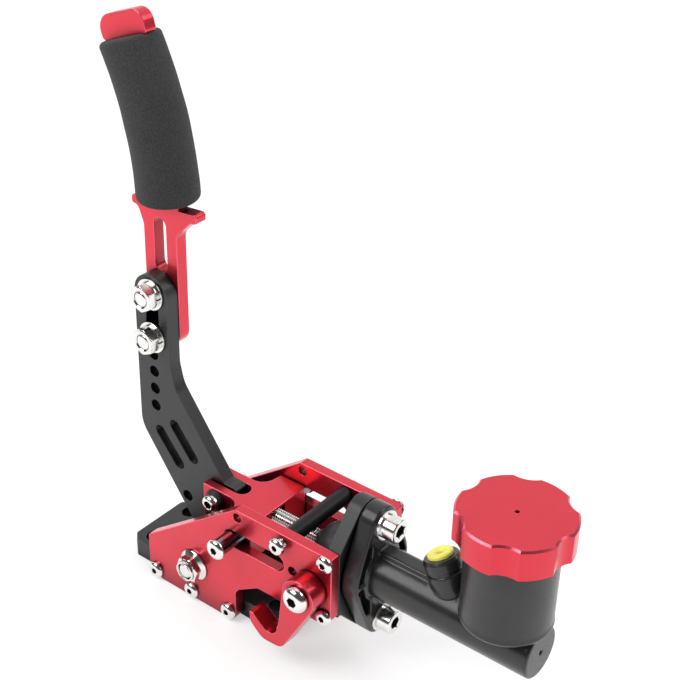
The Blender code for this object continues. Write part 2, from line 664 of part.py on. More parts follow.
def build_lever_arm():
    """The black lever arm, with its row of holes and two lightening slots."""
    arm = slab(arm_outline(), "Y", -HALF_ARM, HALF_ARM, EDGE_BREAK)
    span = (-HALF_ARM - 0.002, HALF_ARM + 0.002)
    tools = [hole("Y", PIVOT, BUSH_RADIUS + FIT, *span)]
    tools.append(hole("Y", LINK_PIN, M6_RADIUS + FIT + OPEN_PIVOT_PLAY, *span))
    tools += [hole("Y", (ARM_CENTRE, ARM_HOLE_FIRST + i * ARM_HOLE_PITCH), ARM_HOLE_RADIUS, *span)
              for i in range(ARM_HOLE_COUNT)]
    tools.append(hole("Y", ARM_LOW_HOLE, ARM_HOLE_RADIUS, *span))
    tools += [slab(slot(a, b, LIGHTENING_RADIUS), "Y", *span) for a, b in LIGHTENING_SLOTS]
    low, high = HANDLE_BOLTS
    adjuster = slot((HANDLE_BOLT_X, low), (HANDLE_BOLT_X, high), M8_RADIUS + FIT, 6)
    tools.append(slab(adjuster, "Y", *span))
    return add_piece("lever_arm", cut(arm, tools), BLACK_METAL, 0.6, 0.42,
                     (0, 0, PIVOT_Z))


def bend_point(angle, offset):
    """A point on the grip's curved centreline, offset to its outer side."""
    reach = GRIP_BEND_RADIUS + offset
    return (BEND_CENTRE[0] + reach * cos(angle), BEND_CENTRE[1] + reach * sin(angle))


def core_band(half_width, start, end, steps):
    """A band of constant width along the bend, as a closed outline."""
    angles = [start + (end - start) * i / steps for i in range(steps + 1)]
    outer = [bend_point(a, half_width) for a in angles]
    inner = [bend_point(a, -half_width) for a in reversed(angles)]
    return outer + inner


def handle_outline():
    """Outline of the handle plate: neck, flared collar, curved core and broad tip."""
    left, right = HANDLE_CENTRE - HANDLE_WIDTH / 2, HANDLE_CENTRE + HANDLE_WIDTH / 2
    top = COLLAR_Z + COLLAR_THICKNESS / 2
    under = COLLAR_Z - COLLAR_THICKNESS / 2
    shoulder = under - COLLAR_FLARE
    root = asin((top - GRIP_START_Z) / GRIP_BEND_RADIUS)
    steps = 7
    core = CORE_WIDTH / 2
    angles = [root + (CAP_NECK_ANGLE - root) * i / steps for i in range(steps + 1)]
    outer = [(*bend_point(a, core), 0) for a in angles]
    inner = [(*bend_point(a, -core), 0) for a in reversed(angles)]
    wide = CAP_HALF_WIDTH
    tip = [(*bend_point(CAP_NECK_ANGLE, wide), 0.003), (*bend_point(CAP_ANGLE, wide), 0.008),
           (*bend_point(CAP_ANGLE, -wide), 0.008), (*bend_point(CAP_NECK_ANGLE, -wide), 0.003)]
    start, end = GRIP_START_X - COLLAR_HALF_WIDTH, GRIP_START_X + COLLAR_HALF_WIDTH
    corners = [(left, HANDLE_BOTTOM, 0.009), (right, HANDLE_BOTTOM, 0.009),
               (right, shoulder, 0.006), (end - 0.004, under, 0.004), (end, under, 0.0018),
               (end, top, 0.0018)]
    corners += outer + tip + inner
    corners += [(start, top, 0.0018), (start, under, 0.0018), (start + 0.004, under, 0.004),
                (left, shoulder, 0.006)]
    return rounded(corners)


def build_handle():
    """The red handle plate: slotted neck, collar under the grip, broad tip above it."""
    plate = slab(handle_outline(), "Y", HANDLE_NEAR, HANDLE_FAR, EDGE_BREAK)
    span = (HANDLE_NEAR - 0.002, HANDLE_FAR + 0.002)
    radius = HANDLE_SLOT_WIDTH / 2
    window = slab(slot((HANDLE_CENTRE, HANDLE_SLOT_LOW + radius),
                       (HANDLE_CENTRE, HANDLE_SLOT_HIGH - radius), radius, 6), "Y", *span)
    bolts = [hole("Y", (HANDLE_BOLT_X, z), M8_RADIUS + FIT, *span) for z in HANDLE_BOLTS]
    return add_piece("handle_plate", cut(plate, [window] + bolts), RED, 0.9, 0.33,
                     (0, 0, PIVOT_Z))


def build_grip():
    """The foam grip: a swept sleeve with a flat channel for the handle plate."""
    start = asin((COLLAR_Z + COLLAR_THICKNESS / 2 + GRIP_GAP - GRIP_START_Z) / GRIP_BEND_RADIUS)
    stations = [(0.0, -0.0025), (0.03, -0.0006)]
    stations += [(0.10 + 0.16 * i, 0.0) for i in range(6)]
    stations += [(0.97, -0.0006), (1.0, -0.0025)]
    bm = bmesh.new()
    rings = []
    for share, inset in stations:
        angle = start + (GRIP_ANGLE - start) * share
        radius = GRIP_RADIUS_LOW + (GRIP_RADIUS_HIGH - GRIP_RADIUS_LOW) * share + inset
        ring = []
        for i in range(SIDES_LARGE):
            turn = 2 * pi * i / SIDES_LARGE
            u, v = bend_point(angle, radius * cos(turn))
            ring.append(bm.verts.new((u, HANDLE_MID + radius * sin(turn), v)))
        rings.append([bm.edges.new((ring[i - 1], ring[i])) for i in range(SIDES_LARGE)])
    for below, above in zip(rings, rings[1:]):
        bmesh.ops.bridge_loops(bm, edges=below + above)
    bmesh.ops.holes_fill(bm, edges=rings[0] + rings[-1], sides=0)
    bmesh.ops.recalc_face_normals(bm, faces=bm.faces)
    channel = slab(core_band(CORE_WIDTH / 2 + FIT, -0.02, CAP_ANGLE + 0.02, 8), "Y",
                   HANDLE_NEAR - FIT, HANDLE_FAR + FIT)
    return add_piece("grip", cut(bm, [channel]), FOAM, 0.0, 0.95, (0, 0, PIVOT_Z))


def build_handle_fasteners():
    """Bolts, flat washers, spring washers and nuts that clamp the handle to the arm."""
    flat = -HALF_ARM - M8_WASHER_THICKNESS
    spring = flat - SPRING_WASHER_THICKNESS
    origin = (0, 0, PIVOT_Z)
    for label, z in zip(("low", "high"), HANDLE_BOLTS):
        length = HANDLE_FAR - spring + M8_NUT_HEIGHT + 0.0005
        bolt = button_screw(M8_RADIUS, M8_HEAD_RADIUS, M8_HEAD_HEIGHT, M8_SOCKET, length, SIDES_MEDIUM)
        moved(bolt, facing((0, 1, 0), (HANDLE_BOLT_X, HANDLE_FAR, z)))
        add_piece(f"handle_bolt_{label}", bolt, ZINC, 1.0, 0.25, origin)
        centre = (HANDLE_BOLT_X, z)
        inner = M8_RADIUS + FIT
        washer = tube(inner, M8_WASHER_RADIUS, "Y", centre, flat, -HALF_ARM)
        add_piece(f"handle_washer_{label}", washer, ZINC, 1.0, 0.25, origin)
        ring = tube(inner, SPRING_WASHER_RADIUS, "Y", centre, spring, flat)
        near_side, far_side = HANDLE_BOLT_X + 0.003, HANDLE_BOLT_X + 0.012
        half_gap = 0.0006
        split = slab([(near_side, z - half_gap), (far_side, z - half_gap),
                      (far_side, z + half_gap), (near_side, z + half_gap)],
                     "Y", spring - 0.002, flat + 0.002)
        add_piece(f"handle_spring_washer_{label}", cut(ring, [split]), ZINC, 1.0, 0.30, origin)
        nut = hex_nut(M8_NUT_HEIGHT, radians(24))
        moved(nut, facing((0, -1, 0), (HANDLE_BOLT_X, spring, z)))
        add_piece(f"handle_nut_{label}", nut, ZINC, 1.0, 0.22, origin)


def build_fork():
    """The red fork: two cheeks astride the arm, wide head on the slider pin."""
    wide = HALF_INNER - RUNNING
    cheek = FORK_CHEEK_OUTER
    scallop = FORK_SCALLOP
    corners = [
        (FORK_REAR, -cheek, 0.001), (FORK_HEAD_REAR, -cheek, scallop),
        (FORK_HEAD_REAR + 0.0015, -wide, 0.0008), (FORK_FRONT, -wide, 0.001),
        (FORK_FRONT, wide, 0.001), (FORK_HEAD_REAR + 0.0015, wide, 0.0008),
        (FORK_HEAD_REAR, cheek, scallop), (FORK_REAR, cheek, 0.001)]
    fork = slab(rounded(corners, radians(12)), "Z", FORK_BOTTOM, FORK_TOP, EDGE_BREAK)
    gap = HALF_ARM + RUNNING + 0.0002
    span = (FORK_BOTTOM - 0.002, FORK_TOP + 0.002)
    end = FORK_SLOT_END - gap
    straddle = slab(slot((FORK_REAR - 0.03, 0), (end, 0), gap, 6), "Z", *span)
    wall = (-wide - 0.002, wide + 0.002)
    window = slab([(SLIDER_X, -FORK_WINDOW / 2), (FORK_FRONT + 0.004, -FORK_WINDOW / 2),
                   (FORK_FRONT + 0.004, FORK_WINDOW / 2), (SLIDER_X, FORK_WINDOW / 2)],
                  "Z", AXIS_Z - 0.0078, AXIS_Z + 0.0046)
    tools = [straddle, hole("Y", SLIDER, TRUNNION_RADIUS + FIT, *wall), window,
             hole("Y", LINK_PIN, M6_RADIUS + FIT, *wall)]
    return add_piece("fork", cut(fork, tools), RED, 0.9, 0.33, (SLIDER_X, 0, AXIS_Z))


def build_fork_pin():
    """The link pin through the cheeks and the arm, a button head and a taper bush each side."""
    seat = FORK_CHEEK_OUTER + TAPER_BUSH_HEIGHT
    long_screw = button_screw(M6_RADIUS, M6_HEAD_RADIUS, M6_HEAD_HEIGHT, M6_SOCKET,
                              2 * seat - 0.0010)
    pin = moved(long_screw, facing((0, -1, 0), (LINK_PIN_X, -seat, LINK_PIN_Z)))
    origin = (SLIDER_X, 0, AXIS_Z)
    add_piece("fork_pin", pin, ZINC, 1.0, 0.25, origin)
    for label, side in SIDES:
        profile = [(M6_RADIUS + FIT, 0), (TAPER_BUSH_RADIUS, 0),
                   (TAPER_BUSH_TOP_RADIUS, TAPER_BUSH_HEIGHT), (M6_RADIUS + FIT, TAPER_BUSH_HEIGHT)]
        bush = turned(profile, "Z", (0, 0))
        point = (LINK_PIN_X, side * FORK_CHEEK_OUTER, LINK_PIN_Z)
        moved(bush, facing((0, side, 0), point))
        add_piece(f"fork_pin_bush_{label}", bush, BLACK_METAL, 0.3, 0.35, origin)
    height = FORK_NUT_HEIGHT
    nut = slab(hexagon(FORK_NUT_FLATS), "Z", 0, height)
    bore = tube(0, M6_RADIUS + FIT, "Z", (0, 0), -height, height * 2)
    nut = moved(cut(nut, [bore]), facing((0, 1, 0), (LINK_PIN_X, seat, LINK_PIN_Z)))
    add_piece("fork_pin_nut", nut, ZINC, 1.0, 0.25, origin)


def build_slider():
    """The slider pin: a cross barrel that rides in both slots and takes the pushrod."""
    far = OUTER_FACE + SLEEVE_STUB
    near = OUTER_FACE + SLEEVE_REACH
    barrel = HALF_INNER - RUNNING
    profile = [(0, -near), (SLEEVE_RADIUS, -near), (SLEEVE_RADIUS, -barrel),
               (TRUNNION_RADIUS, -barrel), (TRUNNION_RADIUS, barrel), (SLEEVE_RADIUS, barrel),
               (SLEEVE_RADIUS, far), (0, far)]
    body = turned(profile, "Y", SLIDER)
    depth = SLEEVE_SCREW_DEPTH
    tools = [hole("Y", SLIDER, M6_RADIUS + FIT, -near - 0.002, -near + depth, SIDES_SMALL),
             hole("Y", SLIDER, M6_RADIUS + FIT, far - depth, far + 0.002, SIDES_SMALL),
             hole("X", (0, AXIS_Z), PUSHROD_RADIUS + FIT, SLIDER_X - 0.010, SLIDER_X + 0.010)]
    add_piece("slider_pin", cut(body, tools), BLACK_METAL, 0.8, 0.25, (SLIDER_X, 0, AXIS_Z))
    for label, side, reach in (("near", -1, near), ("far", 1, far)):
        screw = button_screw(M6_RADIUS, M6_HEAD_RADIUS + 0.0005, M6_HEAD_HEIGHT, M6_SOCKET,
                             depth - 0.001)
        moved(screw, facing((0, side, 0), (SLIDER_X, side * reach, AXIS_Z)))
        add_piece(f"slider_pin_screw_{label}", screw, ZINC, 1.0, 0.22, (SLIDER_X, 0, AXIS_Z))


def build_pushrod():
    """The threaded pushrod, with a ball end that sits in the piston."""
    ball = PUSHROD_BALL_RADIUS
    rear = SLIDER_X - 0.0050
    neck = BALL_X - sqrt(ball ** 2 - PUSHROD_RADIUS ** 2)
    low = asin(PUSHROD_RADIUS / ball)
    arc_points = arc((BALL_X, 0), ball, pi - low, 0, 8)
    profile = [(0, rear), (PUSHROD_RADIUS - 0.0005, rear), (PUSHROD_RADIUS, rear + 0.0005),
               (PUSHROD_RADIUS, neck)]
    profile += [(max(v, 0), u) for u, v in arc_points[1:]]
    rod = turned(profile, "X", (0, AXIS_Z), SIDES_MEDIUM)
    return add_piece("pushrod", rod, ZINC, 1.0, 0.25, (SLIDER_X, 0, AXIS_Z))


def build_piston():
    """The piston, its two cup seals, and the spring in front of it."""
    front = PISTON_REAR + PISTON_LENGTH
    groove = PISTON_RADIUS - 0.0022
    seals = (PISTON_REAR + 0.0080, front - 0.0070)
    cup = PUSHROD_BALL_RADIUS + FIT
    cup_points = arc((BALL_X, 0), cup, 0, pi / 2, 6)
    profile = [(max(v, 0), u) for u, v in cup_points] + [(cup, PISTON_REAR),
                                                       (PISTON_RADIUS, PISTON_REAR)]
    for x in seals:
        profile += [(PISTON_RADIUS, x), (groove, x), (groove, x + SEAL_WIDTH),
                    (PISTON_RADIUS, x + SEAL_WIDTH)]
    profile += [(PISTON_RADIUS, front), (0, front)]
    piston = turned(profile, "X", (0, AXIS_Z), SIDES_LARGE)
    origin = (SLIDER_X, 0, AXIS_Z)
    add_piece("piston", piston, ZINC, 0.9, 0.35, origin)
    for label, x in zip(("rear", "front"), seals):
        ring = tube(groove + 0.0001, BORE_RADIUS - 0.0001, "X", (0, AXIS_Z), x + 0.0002,
                    x + SEAL_WIDTH - 0.0002, SIDES_LARGE)
        add_piece(f"piston_seal_{label}", ring, RUBBER, 0.0, 0.6, origin)


def build_return_spring():
    """The coil spring between the piston and the closed end of the bore."""
    curve = bpy.data.curves.new("return_spring", "CURVE")
    curve.dimensions = "3D"
    curve.bevel_depth = SPRING_WIRE
    curve.bevel_resolution = 0
    curve.use_fill_caps = True
    start = PISTON_REAR + PISTON_LENGTH + SPRING_WIRE + FIT
    end = BORE_END - SPRING_WIRE - FIT
    radius = BORE_RADIUS - SPRING_WIRE - 0.0012
    per_turn = 10
    total = SPRING_COILS * per_turn
    spline = curve.splines.new("POLY")
    spline.points.add(total)
    for i in range(total + 1):
        turn = 2 * pi * i / per_turn
        x = start + (end - start) * i / total
        spline.points[i].co = (x - end, radius * cos(turn), radius * sin(turn), 1)
    spring = bpy.data.objects.new("return_spring", curve)
    spring.location = (end, 0, AXIS_Z)
    spring.data.materials.append(make_material("return_spring", ZINC, 1.0, 0.35))
    bpy.context.scene.collection.objects.link(spring)
    return spring


def build_boot():
    """The rubber dust boot: a dome seated on the cylinder's spigot, open for the pushrod."""
    seat = PLATE_FRONT - SPIGOT_LENGTH
    outer = BOOT_RADIUS
    wall = BOOT_WALL
    hole_radius = PUSHROD_RADIUS + 0.0005
    lip = BRACKET_REAR - 0.0002
    outside = [(outer, lip), (outer, seat + 0.001), (outer * 0.97, seat - 0.003),
               (outer * 0.86, seat - 0.007), (outer * 0.68, seat - 0.0105),
               (hole_radius + 0.003, BOOT_REAR + 0.001), (hole_radius + 0.001, BOOT_REAR)]
    inside = [(hole_radius, BOOT_REAR), (hole_radius, BOOT_REAR + 0.0025),
              (outer * 0.68 - wall, seat - 0.0085), (outer * 0.86 - wall, seat - 0.006),
              (outer * 0.97 - wall, seat - 0.002), (SPIGOT_RADIUS + FIT, seat),
              (SPIGOT_RADIUS + FIT, lip)]
    boot = turned(outside + inside, "X", (0, AXIS_Z), SIDES_LARGE)
    return add_piece("dust_boot", boot, RUBBER, 0.0, 0.6)


def build_retainer():
    """The ring in the mouth of the bore that keeps the piston in."""
    groove = BORE_RADIUS + 0.0008
    ring = tube(BORE_RADIUS - 0.0022, groove, "X", (0, AXIS_Z), RETAINER_X,
                RETAINER_X + RETAINER_THICKNESS, SIDES_LARGE)
    return add_piece("retaining_ring", ring, ZINC, 1.0, 0.35)


def port_matrix():
    """Placement of the outlet: +Z up its tilted axis, from the cylinder's axis."""
    return Matrix.Translation((PORT_X, 0, AXIS_Z)) @ Matrix.Rotation(-PORT_TILT, 4, "Y")


def build_cylinder():
    """The cast master cylinder: flange with pockets, tube, ridge, outlet and reservoir."""
    axis = (0, AXIS_Z)
    flange = slab(flange_outline(FLANGE_MID_RADIUS, FLANGE_LOBE_RADIUS), "X",
                  PLATE_FRONT, FLANGE_FRONT, 0.0010)
    body = tube(0, TUBE_RADIUS, "X", axis, PLATE_FRONT + 0.001, TUBE_END, SIDES_LARGE)
    collar = turned([(0, PLATE_FRONT + 0.002), (TUBE_RADIUS + 0.004, PLATE_FRONT + 0.002),
                     (TUBE_RADIUS + 0.004, FLANGE_FRONT - 0.001),
                     (TUBE_RADIUS + 0.001, FLANGE_FRONT + 0.004), (0, FLANGE_FRONT + 0.004)],
                    "X", axis, SIDES_LARGE)
    spigot = tube(0, SPIGOT_RADIUS, "X", axis, PLATE_FRONT - SPIGOT_LENGTH, PLATE_FRONT + 0.003, SIDES_LARGE)
    ridge = slab(rounded([(-RIDGE_HALF_WIDTH, AXIS_Z, 0), (RIDGE_HALF_WIDTH, AXIS_Z, 0),
                          (RIDGE_HALF_WIDTH, RIDGE_TOP, 0.002),
                          (-RIDGE_HALF_WIDTH, RIDGE_TOP, 0.002)]),
                 "X", PLATE_FRONT + 0.001, RESERVOIR_X - 0.010)
    mouth = RESERVOIR_RADIUS
    low = RESERVOIR_BOTTOM
    wall = [(0, low), (mouth - 0.003, low), (mouth, low + 0.003), (mouth + 0.0006, low + 0.010),
            (mouth, low + 0.018), (mouth, CAP_BOTTOM - 0.001), (NECK_RADIUS, CAP_BOTTOM + 0.0018),
            (NECK_RADIUS, NECK_TOP), (0, NECK_TOP)]
    reservoir = turned(wall, "Z", (RESERVOIR_X, 0), SIDES_RESERVOIR)
    boss = turned([(0, 0), (0.0098, 0), (0.0092, PORT_LENGTH - 0.0090),
                   (PORT_RADIUS - 0.0012, PORT_LENGTH - 0.0065),
                   (PORT_RADIUS - 0.0012, PORT_LENGTH - 0.0050),
                   (PORT_RADIUS, PORT_LENGTH - 0.0045), (PORT_RADIUS, PORT_LENGTH - 0.0010),
                   (PORT_RADIUS - 0.0008, PORT_LENGTH), (0, PORT_LENGTH)], "Z", (0, 0))
    moved(boss, port_matrix())
    whole = union(flange, [body, collar, spigot, ridge, reservoir, boss])
    tools = [hole("X", axis, BORE_RADIUS, PLATE_FRONT - SPIGOT_LENGTH - 0.002, BORE_END, SIDES_LARGE)]
    tools += [hole("X", (0, AXIS_Z + side * FLANGE_BOLT_OFFSET), M8_RADIUS + FIT,
                   PLATE_FRONT - 0.002, FLANGE_FRONT + 0.002) for side in (-1, 1)]
    inside = RESERVOIR_RADIUS - RESERVOIR_WALL
    tools.append(hole("Z", (RESERVOIR_X, 0), inside, RESERVOIR_FLOOR, NECK_TOP + 0.002, SIDES_LARGE))
    tools.append(moved(tube(0, PORT_HOLE_RADIUS, "Z", (0, 0), PORT_LENGTH - 0.013,
                            PORT_LENGTH + 0.002), port_matrix()))
    tools.append(moved(tube(0, 0.0020, "Z", (0, 0), 0.004, PORT_LENGTH - 0.010, SIDES_SMALL),
                       port_matrix()))
    tools.append(hole("Z", (RESERVOIR_X - 0.008, 0), 0.0020, AXIS_Z, RESERVOIR_FLOOR + 0.002, SIDES_SMALL))
    tools.append(hole("X", axis, 0.0012, TUBE_END - 0.003, TUBE_END + 0.002, SIDES_SMALL))
    groove_profile = [(BORE_RADIUS - 0.001, RETAINER_X - FIT),
                      (BORE_RADIUS + 0.0008 + FIT, RETAINER_X - FIT),
                      (BORE_RADIUS + 0.0008 + FIT, RETAINER_X + RETAINER_THICKNESS + FIT),
                      (BORE_RADIUS - 0.001, RETAINER_X + RETAINER_THICKNESS + FIT)]
    tools.append(turned(groove_profile, "X", axis, SIDES_LARGE))
    tools += flange_pockets()
    return add_piece("cylinder_body", cut(whole, tools), CAST_BLACK, 0.1, 0.38)


def flange_pockets():
    """Four triangular pockets that leave the flange's rim, webs and bolt bosses standing."""
    pockets = []
    for side in (-1, 1):
        for top in (-1, 1):
            outline = rounded([(side * u, AXIS_Z + top * v, 0.0012) for u, v in FLANGE_POCKET])
            pockets.append(slab(outline, "X", PLATE_FRONT + FLANGE_WEB, FLANGE_FRONT + 0.004))
    return pockets


def build_flange_bolts():
    """Two socket cap screws and their washers, which hold the cylinder to the bracket."""
    seat = FLANGE_FRONT + WASHER_THICKNESS
    length = seat - BRACKET_REAR + 0.0015
    for label, side in (("low", -1), ("high", 1)):
        centre = (0, AXIS_Z + side * FLANGE_BOLT_OFFSET)
        screw = moved(cap_screw(length), facing((1, 0, 0), (seat, *centre)))
        add_piece(f"flange_screw_{label}", screw, ZINC, 1.0, 0.25)
        washer = tube(M8_RADIUS + FIT, M8_RING_RADIUS, "X", centre, FLANGE_FRONT, seat)
        add_piece(f"flange_washer_{label}", washer, ZINC, 1.0, 0.30)


def build_outlet_plug():
    """The yellow shipping plug in the outlet port."""
    profile = [(0.0018, PORT_LENGTH - 0.0080), (PORT_HOLE_RADIUS - FIT, PORT_LENGTH - 0.0080),
               (PORT_HOLE_RADIUS - FIT, PORT_LENGTH), (PLUG_RIM_RADIUS, PORT_LENGTH),
               (PLUG_RIM_RADIUS, PORT_LENGTH + PLUG_RIM_HEIGHT * 0.6),
               (PLUG_RIM_RADIUS - 0.0008, PORT_LENGTH + PLUG_RIM_HEIGHT),
               (0.0024, PORT_LENGTH + PLUG_RIM_HEIGHT), (0.0018, PORT_LENGTH + 0.0010)]
    plug = moved(turned(profile, "Z", (0, 0)), port_matrix())
    return add_piece("outlet_plug", plug, YELLOW, 0.0, 0.4)


def cap_outline():
    """The cap's rim: a circle with evenly spaced concave finger scallops."""
    reach = CAP_RADIUS - CAP_SCALLOP_DEPTH + CAP_SCALLOP_RADIUS
    half = acos((reach ** 2 + CAP_RADIUS ** 2 - CAP_SCALLOP_RADIUS ** 2) / (2 * reach * CAP_RADIUS))
    pitch = 2 * pi / CAP_SCALLOPS
    points = []
    for i in range(CAP_SCALLOPS):
        middle = CAP_SCALLOP_PHASE + i * pitch
        for share in (-1, -0.75, -0.4, 0, 0.4, 0.75, 1):
            lean = half * share
            root = max(0.0, CAP_SCALLOP_RADIUS ** 2 - (reach * sin(lean)) ** 2)
            radius = reach * cos(lean) - sqrt(root)
            points.append((radius * cos(middle + lean), radius * sin(middle + lean)))
        points += arc((0, 0), CAP_RADIUS, middle + half, middle + pitch - half, 5)[1:-1]
    return [(RESERVOIR_X + u, v) for u, v in points]


def build_cap():
    """The red scalloped reservoir cap, hollow, with a vent hole."""
    cap = slab(cap_outline(), "Z", CAP_BOTTOM, CAP_TOP, CAP_CHAMFER)
    centre = (RESERVOIR_X, 0)
    bore = hole("Z", centre, NECK_RADIUS + RUNNING, CAP_BOTTOM - 0.002, CAP_TOP - CAP_ROOF, SIDES_RESERVOIR)
    vent = hole("Z", centre, CAP_VENT_RADIUS, CAP_TOP - CAP_ROOF - 0.002, CAP_TOP + 0.002, 16)
    return add_piece("reservoir_cap", cut(cap, [bore, vent]), RED, 0.9, 0.33,
                     (RESERVOIR_X, 0, CAP_TOP))


def build_diaphragm():
    """The rubber diaphragm under the cap, with one fold hanging into the reservoir."""
    top = NECK_TOP + FIT + SEAL_THICKNESS
    low = NECK_TOP + FIT
    inner = RESERVOIR_RADIUS - RESERVOIR_WALL - 0.0010
    fold = DIAPHRAGM_FOLD
    profile = [(0, top), (0, low), (DIAPHRAGM_CROWN, low), (inner - 0.006, low - fold),
               (inner - 0.002, low - fold), (inner, low), (NECK_RADIUS - 0.0004, low),
               (NECK_RADIUS - 0.0004, top), (inner - 0.0012, top),
               (inner - 0.0035, low - fold + SEAL_THICKNESS), (DIAPHRAGM_CROWN + 0.0012, top)]
    ring = turned(profile, "Z", (RESERVOIR_X, 0), SIDES_LARGE)
    return add_piece("cap_diaphragm", ring, RUBBER, 0.0, 0.6, (RESERVOIR_X, 0, CAP_TOP))


def hook_outline():
    """The latch hook round its pivot: boss, shank, throat and curved tip."""
    boss = arc((0, 0), LATCH_BOSS_RADIUS, *LATCH_BOSS_SPAN, 10)
    catch = arc((0, 0), LATCH_CATCH_RADIUS, *LATCH_CATCH_SPAN, 4)
    throat = rounded([(*LATCH_THROAT_TOP, 0), (*LATCH_SHANK_FOOT, 0.0018),
                      (*LATCH_THROAT_FLOOR, 0.0024), (*catch[0], 0.002), (*catch[1], 0)])[1:-1]
    outer = rounded([(*LATCH_TIP_TOP, 0.0005), (*LATCH_TIP_OUTER, 0.0050),
                     (*LATCH_HEEL, 0.0100), (*LATCH_HEEL_FRONT, 0.0060), (*LATCH_BACK, 0)])[:-1]
    points = boss + throat + catch[1:] + outer
    return [(LATCH_X + u, LATCH_Z + v) for u, v in points]


def build_latch():
    """The red latch hook on the near plate, and its shoulder screw."""
    near = -OUTER_FACE - RUNNING
    face = near - LATCH_THICKNESS
    hook = slab(hook_outline(), "Y", face, near, EDGE_BREAK)
    bore = hole("Y", LATCH, M8_RADIUS + FIT, face - 0.002, near + 0.002)
    origin = (LATCH_X, -OUTER_FACE, LATCH_Z)
    add_piece("latch_hook", cut(hook, [bore]), RED, 0.9, 0.33, origin)
    length = LATCH_THICKNESS + PLATE_THICKNESS + 2 * RUNNING + 0.0010
    screw = button_screw(M8_RADIUS, M8_HEAD_RADIUS, M8_HEAD_HEIGHT, M8_SOCKET, length, SIDES_MEDIUM)
    moved(screw, facing((0, -1, 0), (LATCH_X, face - RUNNING, LATCH_Z)))
    add_piece("latch_screw", screw, ZINC, 1.0, 0.22)


def main():
    """Build every piece."""
    clear_scene()
    build_base()
    build_side_plate("side_plate_near", -1)
    build_side_plate("side_plate_far", 1)
    build_bracket()
    build_base_screws()
    build_bracket_screws()
    build_cross_rod()
    build_cross_rod_screws()
    build_pivot_hardware()
    build_lever_arm()
    build_handle()
    build_grip()
    build_handle_fasteners()
    build_fork()
    build_fork_pin()
    build_slider()
    build_pushrod()
    build_piston()
    build_return_spring()
    build_boot()
    build_retainer()
    build_cylinder()
    build_flange_bolts()
    build_outlet_plug()
    build_cap()
    build_diaphragm()
    build_latch()


if __name__ == "__main__":
    main()
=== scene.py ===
"""Hydraulic parking brake lever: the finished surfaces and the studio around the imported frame.

Metres, +Z up. The origin is on the floor, under the lever's main pivot. +X runs along the
master cylinder, and -Y is the near side, which carries the latch hook.
"""

import json
from math import acos, asin, atan2, cos, pi, radians, sin, sqrt, tan

import bmesh
import bpy
from mathutils import Matrix, Vector


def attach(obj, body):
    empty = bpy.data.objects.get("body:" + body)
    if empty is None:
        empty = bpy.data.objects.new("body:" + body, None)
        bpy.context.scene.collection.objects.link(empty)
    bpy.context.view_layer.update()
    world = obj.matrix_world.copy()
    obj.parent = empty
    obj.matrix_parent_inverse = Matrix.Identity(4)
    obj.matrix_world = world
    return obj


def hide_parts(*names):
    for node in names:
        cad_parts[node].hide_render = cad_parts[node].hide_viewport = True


bl_info = {
    "name": "Hydraulic Parking Brake Lever",
    "version": (1, 0, 0),
    "blender": (4, 5, 0),
    "location": "3D View > Sidebar > Brake Lever",
    "description": "Builds the finished pieces of a hydraulic parking brake lever round its frame",
    "category": "Object",
}

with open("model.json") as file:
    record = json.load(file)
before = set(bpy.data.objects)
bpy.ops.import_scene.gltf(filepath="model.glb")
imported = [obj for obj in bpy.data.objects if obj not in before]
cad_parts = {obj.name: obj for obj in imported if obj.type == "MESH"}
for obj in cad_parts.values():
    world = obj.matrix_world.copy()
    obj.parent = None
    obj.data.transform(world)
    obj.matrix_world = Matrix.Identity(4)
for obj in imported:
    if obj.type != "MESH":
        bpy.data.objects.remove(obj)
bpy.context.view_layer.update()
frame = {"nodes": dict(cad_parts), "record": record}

# Side plates and the frame box
HALF_INNER = 0.0225
OUTER_FACE = 0.0285
PLATE_REAR = -0.0332
PLATE_FRONT = 0.0900
PLATE_TOP = 0.0734
PLATE_SHOULDER = 0.0289
PLATE_REAR_TOP = 0.0264
PLATE_REAR_CORNER = 0.0085
NOTCH_REAR = 0.0283
NOTCH_HEIGHT = 0.0195
NOTCH_RAMP = 0.0120
LOWER_EDGE = 0.0308
BASE_REAR = -0.0540
BASE_FRONT = 0.0560
BASE_THICKNESS = 0.0105
BASE_SCREW_X = (-0.0280, -0.0022, 0.0236)
BRACKET_THICKNESS = 0.0077
BRACKET_REAR = PLATE_FRONT - BRACKET_THICKNESS
BRACKET_SCREW_X = PLATE_FRONT - BRACKET_THICKNESS / 2
BRACKET_SCREW_Z = {"high": 0.0694, "low": 0.0365}
BRACKET_SPREAD = 0.0285
BRACKET_BORE = 0.0128
SPARE_PLACES = ((0.0304, 0.0688), (0.0660, 0.0540))
SPARE_HOLE = 0.0026
MOUNT_X = 0.044
MOUNT_Y = 0.014
SIDES = (("near", -1), ("far", 1))

# Pivots and the guide slots
PIVOT_Z = 0.0233
PIVOT = (0.0, PIVOT_Z)
LINK_PIN = (-0.0015, 0.0533)
AXIS_Z = 0.0543
SLIDER_X = 0.0265
SLIDER = (SLIDER_X, AXIS_Z)
ALONG_AXIS = ((1, 0, 0), (0, 0, AXIS_Z))
SLOT_FRONT = 0.0556
SLOT_HEIGHT = 0.0098
CROSS_ROD = (0.0590, 0.0680)
LATCH = (0.0778, 0.0508)

